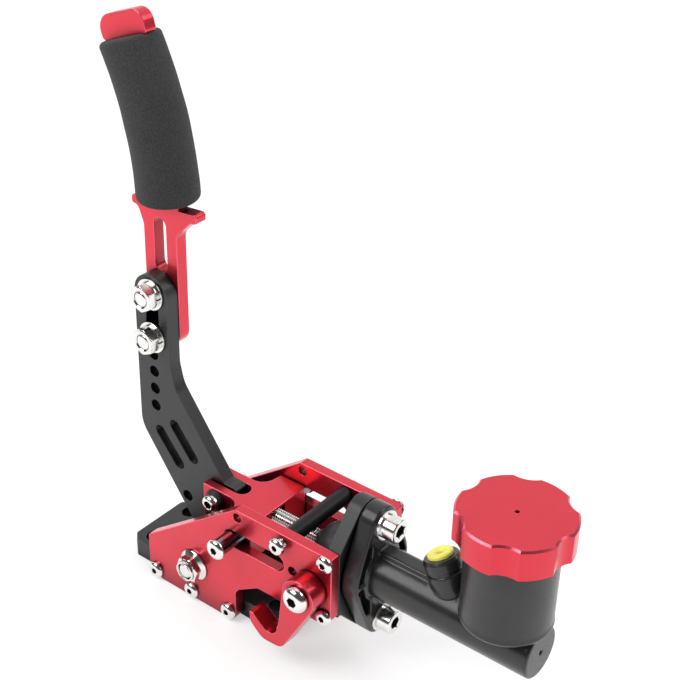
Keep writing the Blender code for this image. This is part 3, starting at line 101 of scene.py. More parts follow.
# Lever arm and handle
HALF_ARM = 0.0040
ARM_LEFT = -0.0592
ARM_RIGHT = -0.0364
ARM_TOP = 0.1672
ARM_BUSH_HOLE = 0.0063
ARM_LINK_HOLE = 0.0048
ARM_HOLE = 0.0032
ARM_HOLE_FIRST = 0.0899
ARM_HOLE_PITCH = 0.0105
ARM_LOW_HOLE = (-0.0270, 0.0405)
LIGHTENING_SLOTS = (((-0.0453, 0.0746), (-0.0325, 0.0593)), ((-0.0347, 0.0824), (-0.0222, 0.0672)))
LIGHTENING_RADIUS = 0.0034
HANDLE_NEAR = HALF_ARM
HANDLE_FAR = 0.0110
HANDLE_MID = 0.0075
HANDLE_CENTRE = -0.0470
HANDLE_WIDTH = 0.0225
HANDLE_BOTTOM = 0.1255
HANDLE_SLOT = ((HANDLE_CENTRE, 0.1705), (HANDLE_CENTRE, 0.1925))
HANDLE_SLOT_RADIUS = 0.0040
HANDLE_BOLT_X = -0.0472
HANDLE_BOLTS = {"low": 0.1321, "high": 0.1571}
COLLAR_Z = 0.2017
COLLAR_THICKNESS = 0.0050
COLLAR_HALF_WIDTH = 0.0212
COLLAR_FLARE = 0.0090
COLLAR_REAR = 0.0014
COLLAR_RISE = 0.0013
GRIP_START = (-0.0432, 0.2000)
GRIP_BEND_RADIUS = 0.1760
GRIP_ANGLE = radians(28.6)
GRIP_GAP = 0.0013
CORE_HALF_WIDTH = 0.0095
CORE_END = radians(27.0)
TIP_CENTRE = (-0.0655, 0.2868)
TIP_TILT = radians(20.0)
TIP_LOW = -0.0028
TIP_HIGH = 0.0095
GRIP_RADIUS_LOW = 0.0161
GRIP_RADIUS_HIGH = 0.0154

# Fork
FORK_TOP = 0.0603
FORK_BOTTOM = 0.0383
FORK_REAR = -0.0104
FORK_FRONT = 0.0329
FORK_HEAD_REAR = 0.0150
FORK_CHEEK = 0.0095
FORK_WIDE = 0.0221
LINK_HOLE = 0.0033

# Master cylinder
FLANGE_BOLT_OFFSET = 0.028575
FLANGE_BOLTS = {"low": AXIS_Z - FLANGE_BOLT_OFFSET, "high": AXIS_Z + FLANGE_BOLT_OFFSET}
FLANGE_LOBE = 0.0097
FLANGE_MID = 0.0210
FLANGE_FRONT = 0.0998
WASHER_FACE = 0.1013
TUBE_RADIUS = 0.01326
TUBE_END = 0.1893
BORE_RADIUS = 0.0099
BORE_END = 0.1830
RIDGE = 0.0044
RIDGE_TOP = 0.0690
RESERVOIR_X = 0.1695
RESERVOIR_RADIUS = 0.0219
RESERVOIR_BOTTOM = 0.0656
RESERVOIR_NECK = 0.0238
RESERVOIR_TOP = 0.1199
RESERVOIR_INSIDE = 0.0193
RESERVOIR_FLOOR = 0.0700
CAP_TOP = 0.1254
CAP_BOTTOM = 0.1088
CAP_RADIUS = 0.02785
PORT_X = 0.1448
PORT_TILT = radians(25.0)
PORT_LENGTH = 0.0300
PORT_RADIUS = 0.0094

# Screws (radius, head radius, head height, socket width), their holes and a nut's flats
M5_BUTTON = (0.0025, 0.0046, 0.0027, 0.0030)
M8_BUTTON = (0.0040, 0.0070, 0.0044, 0.0050)
M5_HOLE = 0.0028
M8_HOLE = 0.0043
M8_FLATS = 0.0130
UNDER_HEAD = 0.00002

ROUND = 72
SLOTS = {item["slot"] for item in frame["record"]["materials"]}


# Properties that a user would change

COLOUR = {"subtype": "COLOR", "size": 3, "min": 0, "max": 1}
LENGTH = {"subtype": "DISTANCE", "unit": "LENGTH"}
FINE_LENGTH = {**LENGTH, "precision": 5}
ANGLE = {"subtype": "ANGLE", "unit": "ROTATION"}
POWER = {"subtype": "POWER", "unit": "POWER", "min": 0, "max": 200}


class LeverFinish(bpy.types.PropertyGroup):
    """Colours and surface finish of the lever's pieces."""

    red: bpy.props.FloatVectorProperty(
        name="Red anodising", description="Colour of the plates, handle, fork, hook and cap",
        default=(0.70, 0.035, 0.060), **COLOUR)
    black: bpy.props.FloatVectorProperty(
        name="Black anodising", description="Colour of the arm, base and bracket",
        default=(0.020, 0.0205, 0.0215), **COLOUR)
    casting: bpy.props.FloatVectorProperty(
        name="Cast black", description="Colour of the coated master cylinder",
        default=(0.0150, 0.0150, 0.0155), **COLOUR)
    foam: bpy.props.FloatVectorProperty(
        name="Foam", description="Colour of the grip",
        default=(0.038, 0.038, 0.039), **COLOUR)
    zinc: bpy.props.FloatVectorProperty(
        name="Zinc plate", description="Colour of the screws, nuts and washers",
        default=(0.84, 0.83, 0.81), **COLOUR)
    plug: bpy.props.FloatVectorProperty(
        name="Shipping plug", description="Colour of the plug in the outlet",
        default=(0.95, 0.86, 0.16), **COLOUR)
    foam_cell: bpy.props.FloatProperty(
        name="Foam cell", description="Width of one cell in the grip's surface",
        min=0.0001, max=0.003, default=0.0005, **FINE_LENGTH)


class LeverSizes(bpy.types.PropertyGroup):
    """Small sizes that change how the pieces look, but not how they fit."""

    edge: bpy.props.FloatProperty(
        name="Edge rounding", description="Radius on the rims of the machined plates",
        min=0.0001, max=0.001, default=0.00045, **FINE_LENGTH)
    rod_pitch: bpy.props.FloatProperty(
        name="Pushrod pitch", description="Pitch of the pushrod's thread",
        min=0.0005, max=0.003, default=0.00125, **FINE_LENGTH)
    screw_pitch: bpy.props.FloatProperty(
        name="Screw pitch", description="Pitch of the thread on the plate screws",
        min=0.0004, max=0.002, default=0.0008, **FINE_LENGTH)
    casting_voxel: bpy.props.FloatProperty(
        name="Casting detail", description="Mesh spacing on the cast cylinder, finer shows more",
        min=0.0003, max=0.002, default=0.0005, **FINE_LENGTH)


class LeverStage(bpy.types.PropertyGroup):
    """Camera, lamps and floor."""

    camera_place: bpy.props.FloatVectorProperty(
        name="Camera place", description="Where the camera stands",
        subtype="TRANSLATION", unit="LENGTH", size=3, default=(0.408535, -0.443903, 0.510994))
    camera_turn: bpy.props.FloatProperty(
        name="Camera turn", description="The camera's turn round the vertical",
        default=radians(37.352), **ANGLE)
    camera_drop: bpy.props.FloatProperty(
        name="Camera drop", description="How far the camera looks down",
        default=radians(31.113), **ANGLE)
    camera_roll: bpy.props.FloatProperty(
        name="Camera roll", description="The camera's roll about its own line of sight",
        default=radians(1.503), **ANGLE)
    lens: bpy.props.FloatProperty(
        name="Lens", description="Focal length on a 36 mm wide sensor, in millimetres",
        min=10, max=300, default=75.88)
    floor_size: bpy.props.FloatProperty(
        name="Floor", description="Width of the floor",
        min=1, max=20, default=6.0, **LENGTH)
    key_power: bpy.props.FloatProperty(
        name="Key lamp", description="Power of the large lamp above the near side",
        default=11.5, **POWER)
    fill_power: bpy.props.FloatProperty(
        name="Fill lamp", description="Power of the lamp above the far side",
        default=5.0, **POWER)
    world_light: bpy.props.FloatProperty(
        name="Room light", description="Strength of the light that comes from all round",
        min=0, max=2, default=0.68)


# Outlines


def arc(centre, radius, start, end, step=radians(7)):
    """Points on an arc, both ends included."""
    steps = max(2, round(abs(end - start) / step))
    angles = [start + (end - start) * i / steps for i in range(steps + 1)]
    return [(centre[0] + radius * cos(a), centre[1] + radius * sin(a)) for a in angles]


def circle(centre, radius):
    """Points round a whole circle."""
    return arc(centre, radius, 0, 2 * pi, 2 * pi / ROUND)[:-1]


def slot(first, second, radius):
    """A slot with round ends between two centres."""
    turn = atan2(second[1] - first[1], second[0] - first[0])
    far = arc(second, radius, turn - pi / 2, turn + pi / 2)
    near = arc(first, radius, turn + pi / 2, turn + 3 * pi / 2)
    return far + near


def rounded(corners, step=radians(7)):
    """An outline from (u, v, fillet radius) corners, with each fillet as a fine arc."""
    points = []
    count = len(corners)
    places = [Vector(corner[:2]) for corner in corners]
    straight, usable = radians(89), 0.98
    bends, reaches = [], []
    for i, here in enumerate(places):
        before = (places[i - 1] - here).normalized()
        after = (places[(i + 1) % count] - here).normalized()
        half = acos(max(-1.0, min(1.0, before.dot(after)))) / 2
        bends.append((before, after, half))
        reaches.append(corners[i][2] / tan(half) if half < straight else 0.0)
    for i, (u, v, radius) in enumerate(corners):
        here, (before, after, half) = places[i], bends[i]
        if radius <= 0 or half > straight:
            points.append((u, v))
            continue
        for j in (i - 1, (i + 1) % count):
            room = (places[j] - here).length * usable
            radius = min(radius, corners[i][2] * room / max(reaches[i] + reaches[j], 1e-9))
        centre = here + (before + after).normalized() * (radius / sin(half))
        first = here + before * (radius / tan(half)) - centre
        last = here + after * (radius / tan(half)) - centre
        start = atan2(first.y, first.x)
        sweep = (atan2(last.y, last.x) - start + pi) % (2 * pi) - pi
        points += arc(centre, radius, start, start + sweep, step)
    return points


# Bodies


def facing(direction, point):
    """Placement that turns +Z to a direction at a point."""
    turn = Vector((0, 0, 1)).rotation_difference(Vector(direction)).to_matrix().to_4x4()
    return Matrix.Translation(point) @ turn


def moved(bm, matrix):
    """The same body after a placement."""
    bmesh.ops.transform(bm, matrix=matrix, verts=bm.verts)
    return bm


def put(bm, direction, point, spin=0.0):
    """The same body with its +Z turned to a direction at a point, after a spin about its axis."""
    return moved(bm, facing(direction, point) @ Matrix.Rotation(spin, 4, "Z"))


def add_object(name, data):
    """A new object in the scene."""
    made = bpy.data.objects.new(name, data)
    bpy.context.scene.collection.objects.link(made)
    return made


def evaluated_body(item):
    """A body from an object with its modifiers applied; the object goes."""
    bpy.context.view_layer.update()
    graph = bpy.context.evaluated_depsgraph_get()
    mesh = bpy.data.meshes.new_from_object(item.evaluated_get(graph), depsgraph=graph)
    bm = bmesh.new()
    bm.from_mesh(mesh)
    data = item.data
    bpy.data.objects.remove(item, do_unlink=True)
    (bpy.data.curves if isinstance(data, bpy.types.Curve) else bpy.data.meshes).remove(data)
    bpy.data.meshes.remove(mesh)
    return bm


def working_object(bm):
    """A short-lived object that holds a body."""
    mesh = bpy.data.meshes.new("working")
    bm.to_mesh(mesh)
    bm.free()
    return add_object("working", mesh)


def plate(outline, holes, axis, start, end, edge, steps=2):
    """A flat plate from an outline and its holes, with every rim rounded."""
    curve = bpy.data.curves.new("outline", "CURVE")
    curve.dimensions = "2D"
    curve.fill_mode = "BOTH"
    curve.extrude = (end - start) / 2 - edge
    curve.bevel_depth = edge
    curve.bevel_resolution = steps
    curve.offset = -edge
    for loop in [outline] + list(holes):
        spline = curve.splines.new("POLY")
        spline.points.add(len(loop) - 1)
        for point, (u, v) in zip(spline.points, loop):
            point.co = (u, v, 0, 1)
        spline.use_cyclic_u = True
    bm = evaluated_body(add_object("outline", curve))
    bmesh.ops.remove_doubles(bm, verts=bm.verts, dist=1e-6)
    # The rim layer marks the rounded rim faces, which later get a painted highlight.
    rim = bm.faces.layers.float.new("rim")
    for face in bm.faces:
        face.smooth = abs(face.normal.z) < 0.999
        face[rim] = float(0.05 < abs(face.normal.z) < 0.999)
    middle = (start + end) / 2
    columns = {"X": ((0, 0, 1, middle), (1, 0, 0, 0), (0, 1, 0, 0), (0, 0, 0, 1)),
               "Y": ((1, 0, 0, 0), (0, 0, 1, middle), (0, 1, 0, 0), (0, 0, 0, 1)),
               "Z": ((1, 0, 0, 0), (0, 1, 0, 0), (0, 0, 1, middle), (0, 0, 0, 1))}
    moved(bm, Matrix(columns[axis]))
    bmesh.ops.recalc_face_normals(bm, faces=bm.faces)
    return bm


def ring_points(height, radius, flats=None, turn=0.0):
    """Points round an axis: a circle, cut to a hexagon where its width across flats is given."""
    points = []
    for i in range(ROUND):
        angle = 2 * pi * i / ROUND
        reach = radius
        if flats:
            reach = min(radius, flats / 2 / cos((angle - turn) % (pi / 3) - pi / 6))
        points.append((reach * cos(angle), reach * sin(angle), height))
    return points


def stack(rings, closed=False, socket_from=None):
    """A body along +Z from rings of points; faces past one ring belong to a dark socket."""
    bm = bmesh.new()
    loops = [[bm.verts.new(point) for point in ring] for ring in rings]
    count = len(loops[0])
    pairs = list(zip(loops, loops[1:]))
    if closed:
        pairs.append((loops[-1], loops[0]))
    for number, (low, high) in enumerate(pairs):
        for i in range(count):
            face = bm.faces.new((low[i - 1], low[i], high[i], high[i - 1]))
            face.smooth = True
            face.material_index = int(socket_from is not None and number >= socket_from)
    if not closed:
        bm.faces.new(loops[0][::-1])
        bm.faces.new(loops[-1]).material_index = int(socket_from is not None)
    bmesh.ops.recalc_face_normals(bm, faces=bm.faces)
    return bm


def turned(corners, closed=False):
    """A turned body along +Z from (radius, height, fillet) corners, solid unless it is closed."""
    if not closed:
        corners = [(0, corners[0][1], 0)] + corners + [(0, corners[-1][1], 0)]
    points = rounded(corners, radians(18))
    if not closed:
        points = [point for point in points if point[0] > 1e-6]
    return stack([ring_points(h, max(r, 1e-5)) for r, h in points], closed)


def threaded(radius, pitch, start, end):
    """A screw thread along +Z between two heights, run out at both ends."""
    count = 48
    depth = pitch * 0.55
    rows = max(12, round((end - start) / pitch * 10))
    rings = []
    for i in range(rows + 1):
        height = start + (end - start) * i / rows
        fade = min(1.0, i / 10, (rows - i) / 10)
        ring = []
        for j in range(count):
            share = abs(2 * ((height / pitch - j / count) % 1) - 1)
            crest = min(1.0, max(0.0, (share - 0.12) / 0.72))
            reach = radius - depth * (1 - crest) * fade - depth * (1 - fade) * 0.3
            angle = 2 * pi * j / count
            ring.append((reach * cos(angle), reach * sin(angle), height))
        rings.append(ring)
    return stack(rings)


def joined(*bodies):
    """Several bodies in one mesh."""
    whole = bmesh.new()
    for body in bodies:
        mesh = bpy.data.meshes.new("working")
        body.to_mesh(mesh)
        body.free()
        whole.from_mesh(mesh)
        bpy.data.meshes.remove(mesh)
    return whole


def cut(body, *tools, operation="DIFFERENCE"):
    """Cut tools out of a body, or fuse them to it, one Boolean after another."""
    for tool in tools:
        item = working_object(body)
        other = working_object(tool)
        modifier = item.modifiers.new("Boolean", "BOOLEAN")
        modifier.operation = operation
        modifier.object = other
        body = evaluated_body(item)
        mesh = other.data
        bpy.data.objects.remove(other, do_unlink=True)
        bpy.data.meshes.remove(mesh)
    return body


def drill(axis, centre, radius, start, end):
    """A round cutter along an axis."""
    direction = {"X": (1, 0, 0), "Y": (0, 1, 0), "Z": (0, 0, 1)}[axis]
    point = {"X": (start, *centre), "Y": (centre[0], start, centre[1]), "Z": (*centre, start)}[axis]
    return put(stack([ring_points(0, radius), ring_points(end - start, radius)]), direction, point)


def finished_mesh(name, body, kind, sharp=radians(32)):
    """A mesh from a body, with its finish, and dark steel in its socket where it has one, partly
    bare steel and partly painted shade.
    """
    mesh = bpy.data.meshes.new(name)
    body.to_mesh(mesh)
    body.free()
    mesh.set_sharp_from_angle(angle=sharp)
    mesh.materials.append(finish(kind))
    if any(polygon.material_index for polygon in mesh.polygons):
        mesh.materials.append(finish("socket"))
    return mesh


def add_piece(name, body, kind, rides, *nodes, sharp=radians(32)):
    """Make a shown piece: shade it, give it its finish, and tie it to the frame."""
    piece = add_object(name, finished_mesh(name, body, kind, sharp))
    even = piece.modifiers.new("Even shading", "WEIGHTED_NORMAL")
    even.keep_sharp = True
    even.weight = 100
    slot_name = FINISHES[kind][1]
    if slot_name not in SLOTS:
        raise ValueError(f"the record has no material slot {slot_name}")
    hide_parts(*nodes)
    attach(piece, rides)
    return piece


def paint_node(name, kind):
    """Give a frame node that stays as it is its finish."""
    materials = frame["nodes"][name].data.materials
    materials.clear()
    materials.append(finish(kind))


# Shader nodes and groups


def feed(tree, value, socket):
    """Link an output to an input, or set the input to a plain value."""
    if isinstance(value, bpy.types.NodeSocket):
        tree.links.new(value, socket)
    else:
        socket.default_value = value


def add_node(tree, kind, label="", *ordered, **named):
    """A shader node with its inputs fed in order or by socket name."""
    made = tree.nodes.new(kind)
    made.label = label
    for socket, value in zip(made.inputs, ordered):
        feed(tree, value, socket)
    for socket, value in named.items():
        feed(tree, value, made.inputs[socket.replace("_", " ")])
    return made


def combine(tree, operation, *values, clamp=False):
    """The result of a Math node on outputs and plain numbers."""
    made = tree.nodes.new("ShaderNodeMath")
    made.operation = operation
    made.use_clamp = clamp
    for socket, value in zip(made.inputs, values):
        feed(tree, value, socket)
    return made.outputs[0]


def object_place(tree):
    """The object's own coordinates, which move with it."""
    return tree.nodes.new("ShaderNodeTexCoord").outputs["Object"]


def spread_to(tree, source, low, high, start=0.3, end=0.7):
    """A value spread over a new range."""
    return add_node(tree, "ShaderNodeMapRange", Value=source, From_Min=start, From_Max=end,
                    To_Min=low, To_Max=high).outputs["Result"]


def mixed(tree, factor, first, second):
    """A colour that goes from the first to the second with a mask."""
    made = tree.nodes.new("ShaderNodeMix")
    made.data_type = "RGBA"
    for value, socket in ((factor, "Factor"), (first, "A"), (second, "B")):
        feed(tree, (*value, 1) if isinstance(value, tuple) else value, made.inputs[socket])
    return made.outputs["Result"]


def raised(tree, height, strength, distance):
    """A bump normal from a height."""
    return add_node(tree, "ShaderNodeBump", "Relief", Strength=strength, Distance=distance,
                    Height=height).outputs["Normal"]


def place_group(tree, fill, **values):
    """The outputs of a shared node group in a tree; the first use makes the group."""
    name = fill.__name__.replace("_", " ").capitalize()
    if name not in bpy.data.node_groups:
        fill(bpy.data.node_groups.new(name, "ShaderNodeTree"))
    made = tree.nodes.new("ShaderNodeGroup")
    made.node_tree = bpy.data.node_groups[name]
    for socket, value in values.items():
        feed(tree, value, made.inputs[socket.replace("_", " ")])
    return made.outputs


def group_ends(group, inputs, outputs):
    """Give a node group its number sockets; returns what comes in and what goes out."""
    for label, value in inputs.items():
        group.interface.new_socket(name=label, in_out="INPUT",
                                   socket_type="NodeSocketFloat").default_value = value
    for label in outputs:
        group.interface.new_socket(name=label, in_out="OUTPUT", socket_type="NodeSocketFloat")
    return group.nodes.new("NodeGroupInput").outputs, group.nodes.new("NodeGroupOutput").inputs


def surface_grain(group):
    """Fine grain of a blasted, cast or foamed surface, and broad slow patches over it."""
    start, end = group_ends(group, {"Grain Size": 0.0005, "Patch Size": 0.02, "Sharpness": 0.5},
                            ("Grain", "Patches", "Height"))
    place = object_place(group)
    fine, broad = [
        add_node(group, "ShaderNodeTexNoise", label, Detail=detail, Vector=place,
                 Scale=combine(group, "DIVIDE", 1.0, start[size])).outputs["Fac"]
        for label, size, detail in (("Grain", "Grain Size", 3.0), ("Patches", "Patch Size", 2.0))]
    low = combine(group, "MULTIPLY", start["Sharpness"], 0.45)
    spread = add_node(group, "ShaderNodeMapRange", Value=fine, From_Min=low,
                      From_Max=combine(group, "SUBTRACT", 1.0, low))
    spread.interpolation_type = "SMOOTHSTEP"
    grain = spread.outputs["Result"]
    feed(group, grain, end["Grain"])
    feed(group, broad, end["Patches"])
    feed(group, combine(group, "MULTIPLY_ADD", broad, 0.5, grain), end["Height"])


def painted_rim_highlight(group):
    """Mask of a plate's rounded rims, which get a painted highlight, broken up by noise."""
    start, end = group_ends(group, {"Break Up": 0.3}, ["Mask"])
    rim = group.nodes.new("ShaderNodeAttribute")
    rim.attribute_name = "rim"
    noise = add_node(group, "ShaderNodeTexNoise", "Break up", Vector=object_place(group),
                     Scale=300.0, Detail=3.0)
    share = combine(group, "MULTIPLY", noise.outputs["Fac"], start["Break Up"])
    feed(group, combine(group, "SUBTRACT", rim.outputs["Fac"], share, clamp=True), end["Mask"])


def crevices(group):
    """Mask of slots, holes and inner corners, where little light gets in."""
    start, end = group_ends(group, {"Reach": 0.012}, ["Mask"])
    lit = add_node(group, "ShaderNodeAmbientOcclusion", "Open share", Distance=start["Reach"])
    lit.samples = 8
    feed(group, spread_to(group, lit.outputs["AO"], 0.0, 1.0, 0.85, 0.40), end["Mask"])


def tool_marks(group):
    """Fine turning or milling lines, for bright fasteners and machined faces."""
    start, end = group_ends(group, {"Line Width": 0.0002, "Stretch": 0.05}, ["Lines"])
    squeeze = add_node(group, "ShaderNodeCombineXYZ", X=start["Stretch"], Y=1.0, Z=1.0)
    shaped = add_node(group, "ShaderNodeVectorMath", "", object_place(group), squeeze.outputs[0])
    shaped.operation = "MULTIPLY"
    noise = add_node(group, "ShaderNodeTexNoise", "Lines", Detail=2.0, Vector=shaped.outputs[0],
                     Scale=combine(group, "DIVIDE", 1.0, start["Line Width"]))
    feed(group, noise.outputs["Fac"], end["Lines"])


# Finishes


def set_shader(tree, **values):
    """Feed inputs of a material's shader by socket name."""
    shader = tree.nodes["Principled BSDF"]
    for socket, value in values.items():
        feed(tree, value, shader.inputs[socket.replace("_", " ")])


def shade(colour, factor):
    """A colour made lighter or darker."""
    return tuple(min(1.0, value * factor) for value in colour)


def grained(tree, colour, shades, grain, rough, relief):
    """Wire grain into gloss and relief; returns a base colour of two shades in broad patches."""
    size, patch, sharpness = grain
    made = place_group(tree, surface_grain, Grain_Size=size, Patch_Size=patch, Sharpness=sharpness)
    set_shader(tree, Roughness=spread_to(tree, made["Grain"], *rough),
               Normal=raised(tree, made["Height"], *relief))
    patches = spread_to(tree, made["Patches"], 0.0, 1.0)
    return mixed(tree, patches, shade(colour, shades[0]), shade(colour, shades[1]))


def worn(tree, base, rim_highlight_colour, break_up, crevice_shade_colour, reach):
    """Wire a base colour with a painted highlight on the rims and painted shade in crevices;
    returns the crevices' mask.
    """
    rim = place_group(tree, painted_rim_highlight, Break_Up=break_up)["Mask"]
    deep = place_group(tree, crevices, Reach=reach)["Mask"]
    # Painted highlight on the rims first, then painted shade in the crevices.
    bright = mixed(tree, rim, base, rim_highlight_colour)
    set_shader(tree, Base_Color=mixed(tree, deep, bright, crevice_shade_colour))
    return deep


def red_anodising(tree):
    """Satin red anodised aluminium with a painted highlight on its thin rims and painted shade in
    its crevices.
    """
    colour = tuple(bpy.context.scene.lever_finish.red)
    base = grained(tree, colour, (0.94, 1.06), (0.00022, 0.030, 0.4), (0.27, 0.36),
                   (0.10, 0.00002))
    # The lighter red is the rims' painted highlight; the darker red is painted shade in crevices.
    worn(tree, base, (0.88, 0.13, 0.18), 0.5, shade(colour, 0.28), 0.026)
    set_shader(tree, Metallic=0.86, Coat_Weight=0.35, Coat_Roughness=0.16, Coat_IOR=1.5)


def black_anodising(tree, depth):
    """Satin black anodised aluminium with a painted highlight on its rims and painted shade in its
    crevices; a lower depth is a blacker piece, which the spacer rod gets as painted shade.
    """
    colour = shade(bpy.context.scene.lever_finish.black, depth)
    base = grained(tree, colour, (0.85, 1.20), (0.00025, 0.035, 0.4), (0.36, 0.50),
                   (0.14, 0.00003))
    # The grey is the rims' painted highlight; the darker black is painted shade in crevices.
    deep = worn(tree, base, (0.07, 0.07, 0.073), 0.8, shade(colour, 0.2), 0.012)
    # Metallic rises in the crevices, which darkens them further as painted shade.
    set_shader(tree, Metallic=spread_to(tree, deep, 0.15, 0.95), Coat_Weight=0.10 * depth,
               Coat_Roughness=0.30, Specular_IOR_Level=0.55 * depth)


def cast_coating(tree):
    """Semi-gloss black coating over a slightly uneven casting."""
    base = grained(tree, bpy.context.scene.lever_finish.casting, (0.8, 1.35),
                   (0.0013, 0.014, 0.3), (0.28, 0.36), (0.07, 0.00006))
    set_shader(tree, Base_Color=base, Metallic=0.0, Coat_Weight=0.22, Coat_Roughness=0.14,
               Specular_IOR_Level=0.45)


def foam_skin(tree):
    """Matt closed-cell foam with fine open pores."""
    settings = bpy.context.scene.lever_finish
    cell = settings.foam_cell
    grain = place_group(tree, surface_grain, Grain_Size=cell, Patch_Size=0.010, Sharpness=0.7)
    pores = add_node(tree, "ShaderNodeTexVoronoi", "Pores", Vector=object_place(tree),
                     Scale=1.0 / (cell * 2.2))
    pits = spread_to(tree, pores.outputs["Distance"], 0.0, 1.0, 0.05, 0.5)
    speckle = combine(tree, "MULTIPLY", pits, grain["Grain"])
    set_shader(tree, Metallic=0.0, Sheen_Weight=0.12, Sheen_Roughness=0.6,
               Sheen_Tint=(0.8, 0.8, 0.8, 1), Specular_IOR_Level=0.25,
               Base_Color=mixed(tree, speckle, shade(settings.foam, 0.72),
                                shade(settings.foam, 1.45)),
               Roughness=spread_to(tree, grain["Patches"], 0.86, 0.98),
               Normal=raised(tree, speckle, 0.55, 0.00012))


def zinc_plate(tree):
    """Bright zinc plate with faint turning lines."""
    colour = bpy.context.scene.lever_finish.zinc
    grain = place_group(tree, surface_grain, Grain_Size=0.0006, Patch_Size=0.004, Sharpness=0.3)
    lines = place_group(tree, tool_marks, Line_Width=0.00012, Stretch=0.08)["Lines"]
    patches = spread_to(tree, grain["Patches"], 0.0, 1.0)
    set_shader(tree, Metallic=1.0, Roughness=spread_to(tree, lines, 0.10, 0.24),
               Base_Color=mixed(tree, patches, shade(colour, 0.90), shade(colour, 1.04)),
               Normal=raised(tree, lines, 0.06, 0.00002))


def machined(tree, metallic, stretch, dark, light, rough):
    """Bare metal with turning lines between two shades."""
    lines = place_group(tree, tool_marks, Line_Width=0.0002, Stretch=stretch)["Lines"]
    set_shader(tree, Metallic=metallic, Base_Color=mixed(tree, lines, dark, light),
               Roughness=spread_to(tree, lines, *rough))


def bare_metal(tree, colour):
    """Turned bronze or aluminium, for pieces inside the frame."""
    machined(tree, 1.0, 0.1, shade(colour, 0.85), shade(colour, 1.1), (0.25, 0.42))


def moulded(tree, colour, rough, cell):
    """Moulded rubber or plastic with a soft skin."""
    base = grained(tree, colour, (0.90, 1.10), (cell, cell * 18, 0.4),
                   (rough - 0.07, rough + 0.07), (0.15, 0.00004))
    set_shader(tree, Base_Color=base, Metallic=0.0, Specular_IOR_Level=0.45)


def plug_plastic(tree):
    """The shipping plug's moulded plastic, in the colour that is set."""
    moulded(tree, bpy.context.scene.lever_finish.plug, 0.38, 0.0008)


# For each kind of finish: its material, the record's slot, what wires it, and its values
FINISHES = {
    "red": ("red anodising", "red_anodised", red_anodising),
    "black": ("black anodising", "black_anodised", black_anodising, 1.0),
    # The rod's darker copy of the black anodising is painted shade.
    "rod": ("rod black", "black_anodised", black_anodising, 0.45),
    "casting": ("cast coating", "black_casting", cast_coating),
    "foam": ("foam skin", "foam", foam_skin),
    "zinc": ("zinc plate", "zinc_steel", zinc_plate),
    "plug": ("plug plastic", "yellow_plastic", plug_plastic),
    "boot": ("boot rubber", "rubber_black", moulded, (0.030, 0.030, 0.031), 0.46, 0.0006),
    "seal": ("seal rubber", None, moulded, (0.018, 0.018, 0.019), 0.60, 0.0005),
    # The dark socket steel is partly the bare steel inside sockets and partly painted shade of the
    # deep recess.
    "socket": ("socket steel", None, machined, 0.6, 0.3, (0.012, 0.012, 0.012),
               (0.045, 0.044, 0.043), (0.40, 0.60)),
    "sleeve": ("polished sleeve", "black_anodised", machined, 1.0, 1.0, (0.16, 0.155, 0.155),
               (0.30, 0.29, 0.29), (0.12, 0.22)),
    "bronze": ("bearing bronze", "bronze", bare_metal, (0.55, 0.36, 0.17)),
    "aluminium": ("turned aluminium", None, bare_metal, (0.78, 0.78, 0.79)),
    "spring": ("spring steel", None, bare_metal, (0.55, 0.54, 0.52)),
}


def finish(kind):
    """The material of a kind of finish; the first use makes it."""
    name, _, wire, *values = FINISHES[kind]
    if name not in bpy.data.materials:
        made = bpy.data.materials.new(name)
        made.use_nodes = True
        wire(made.node_tree, *values)
    return bpy.data.materials[name]


# Fasteners


def button_head(sizes, length, pitch=None):
    """A button-head screw along +Z, with a hexagon socket and a thread where it shows."""
    radius, head_radius, height, socket = sizes
    rim, steps, shoulder = 0.00025, 8, 0.22
    dome = [(head_radius - rim, 0), (head_radius, rim), (head_radius, height * shoulder)]
    for i in range(1, steps + 1):
        turn = (pi / 2) * i / steps
        reach = socket * 0.68 + (head_radius - socket * 0.68) * cos(turn)
        dome.append((reach, height * (shoulder + 0.78 * sin(turn))))
    rings = [ring_points(-length, radius * 0.88), ring_points(-length + radius * 0.12, radius),
             ring_points(-UNDER_HEAD, radius)]
    rings += [ring_points(h, r) for r, h in dome]
    rings += [ring_points(height, socket * 0.62),
              ring_points(height - 0.0002, socket * 0.60, socket)]
    deep = len(rings) - 1
    rings += [ring_points(height * 0.30, socket * 0.60, socket),
              ring_points(height * 0.22, socket * 0.18)]
    if not pitch:
        return stack(rings, socket_from=deep)
    return joined(stack(rings[2:], socket_from=deep - 2), threaded(radius, pitch, -length, 0.0))


def socket_cap(radius, head_radius, height, socket, length):
    """A socket cap screw along +Z, with a chamfered head."""
    rings = [ring_points(-length, radius * 0.9), ring_points(-length + radius * 0.1, radius),
             ring_points(-UNDER_HEAD, radius), ring_points(0, head_radius - 0.0003)]
    for share, inset in ((0.05, 0.0), (0.90, 0.0), (0.95, 0.0002), (0.985, 0.0006)):
        rings.append(ring_points(height * share, head_radius - inset))
    rings += [ring_points(height, head_radius - 0.0011), ring_points(height, socket * 0.64),
              ring_points(height - 0.0004, socket * 0.585, socket)]
    deep = len(rings) - 1
    rings += [ring_points(height * 0.42, socket * 0.585, socket),
              ring_points(height * 0.36, socket * 0.2)]
    return stack(rings, socket_from=deep)


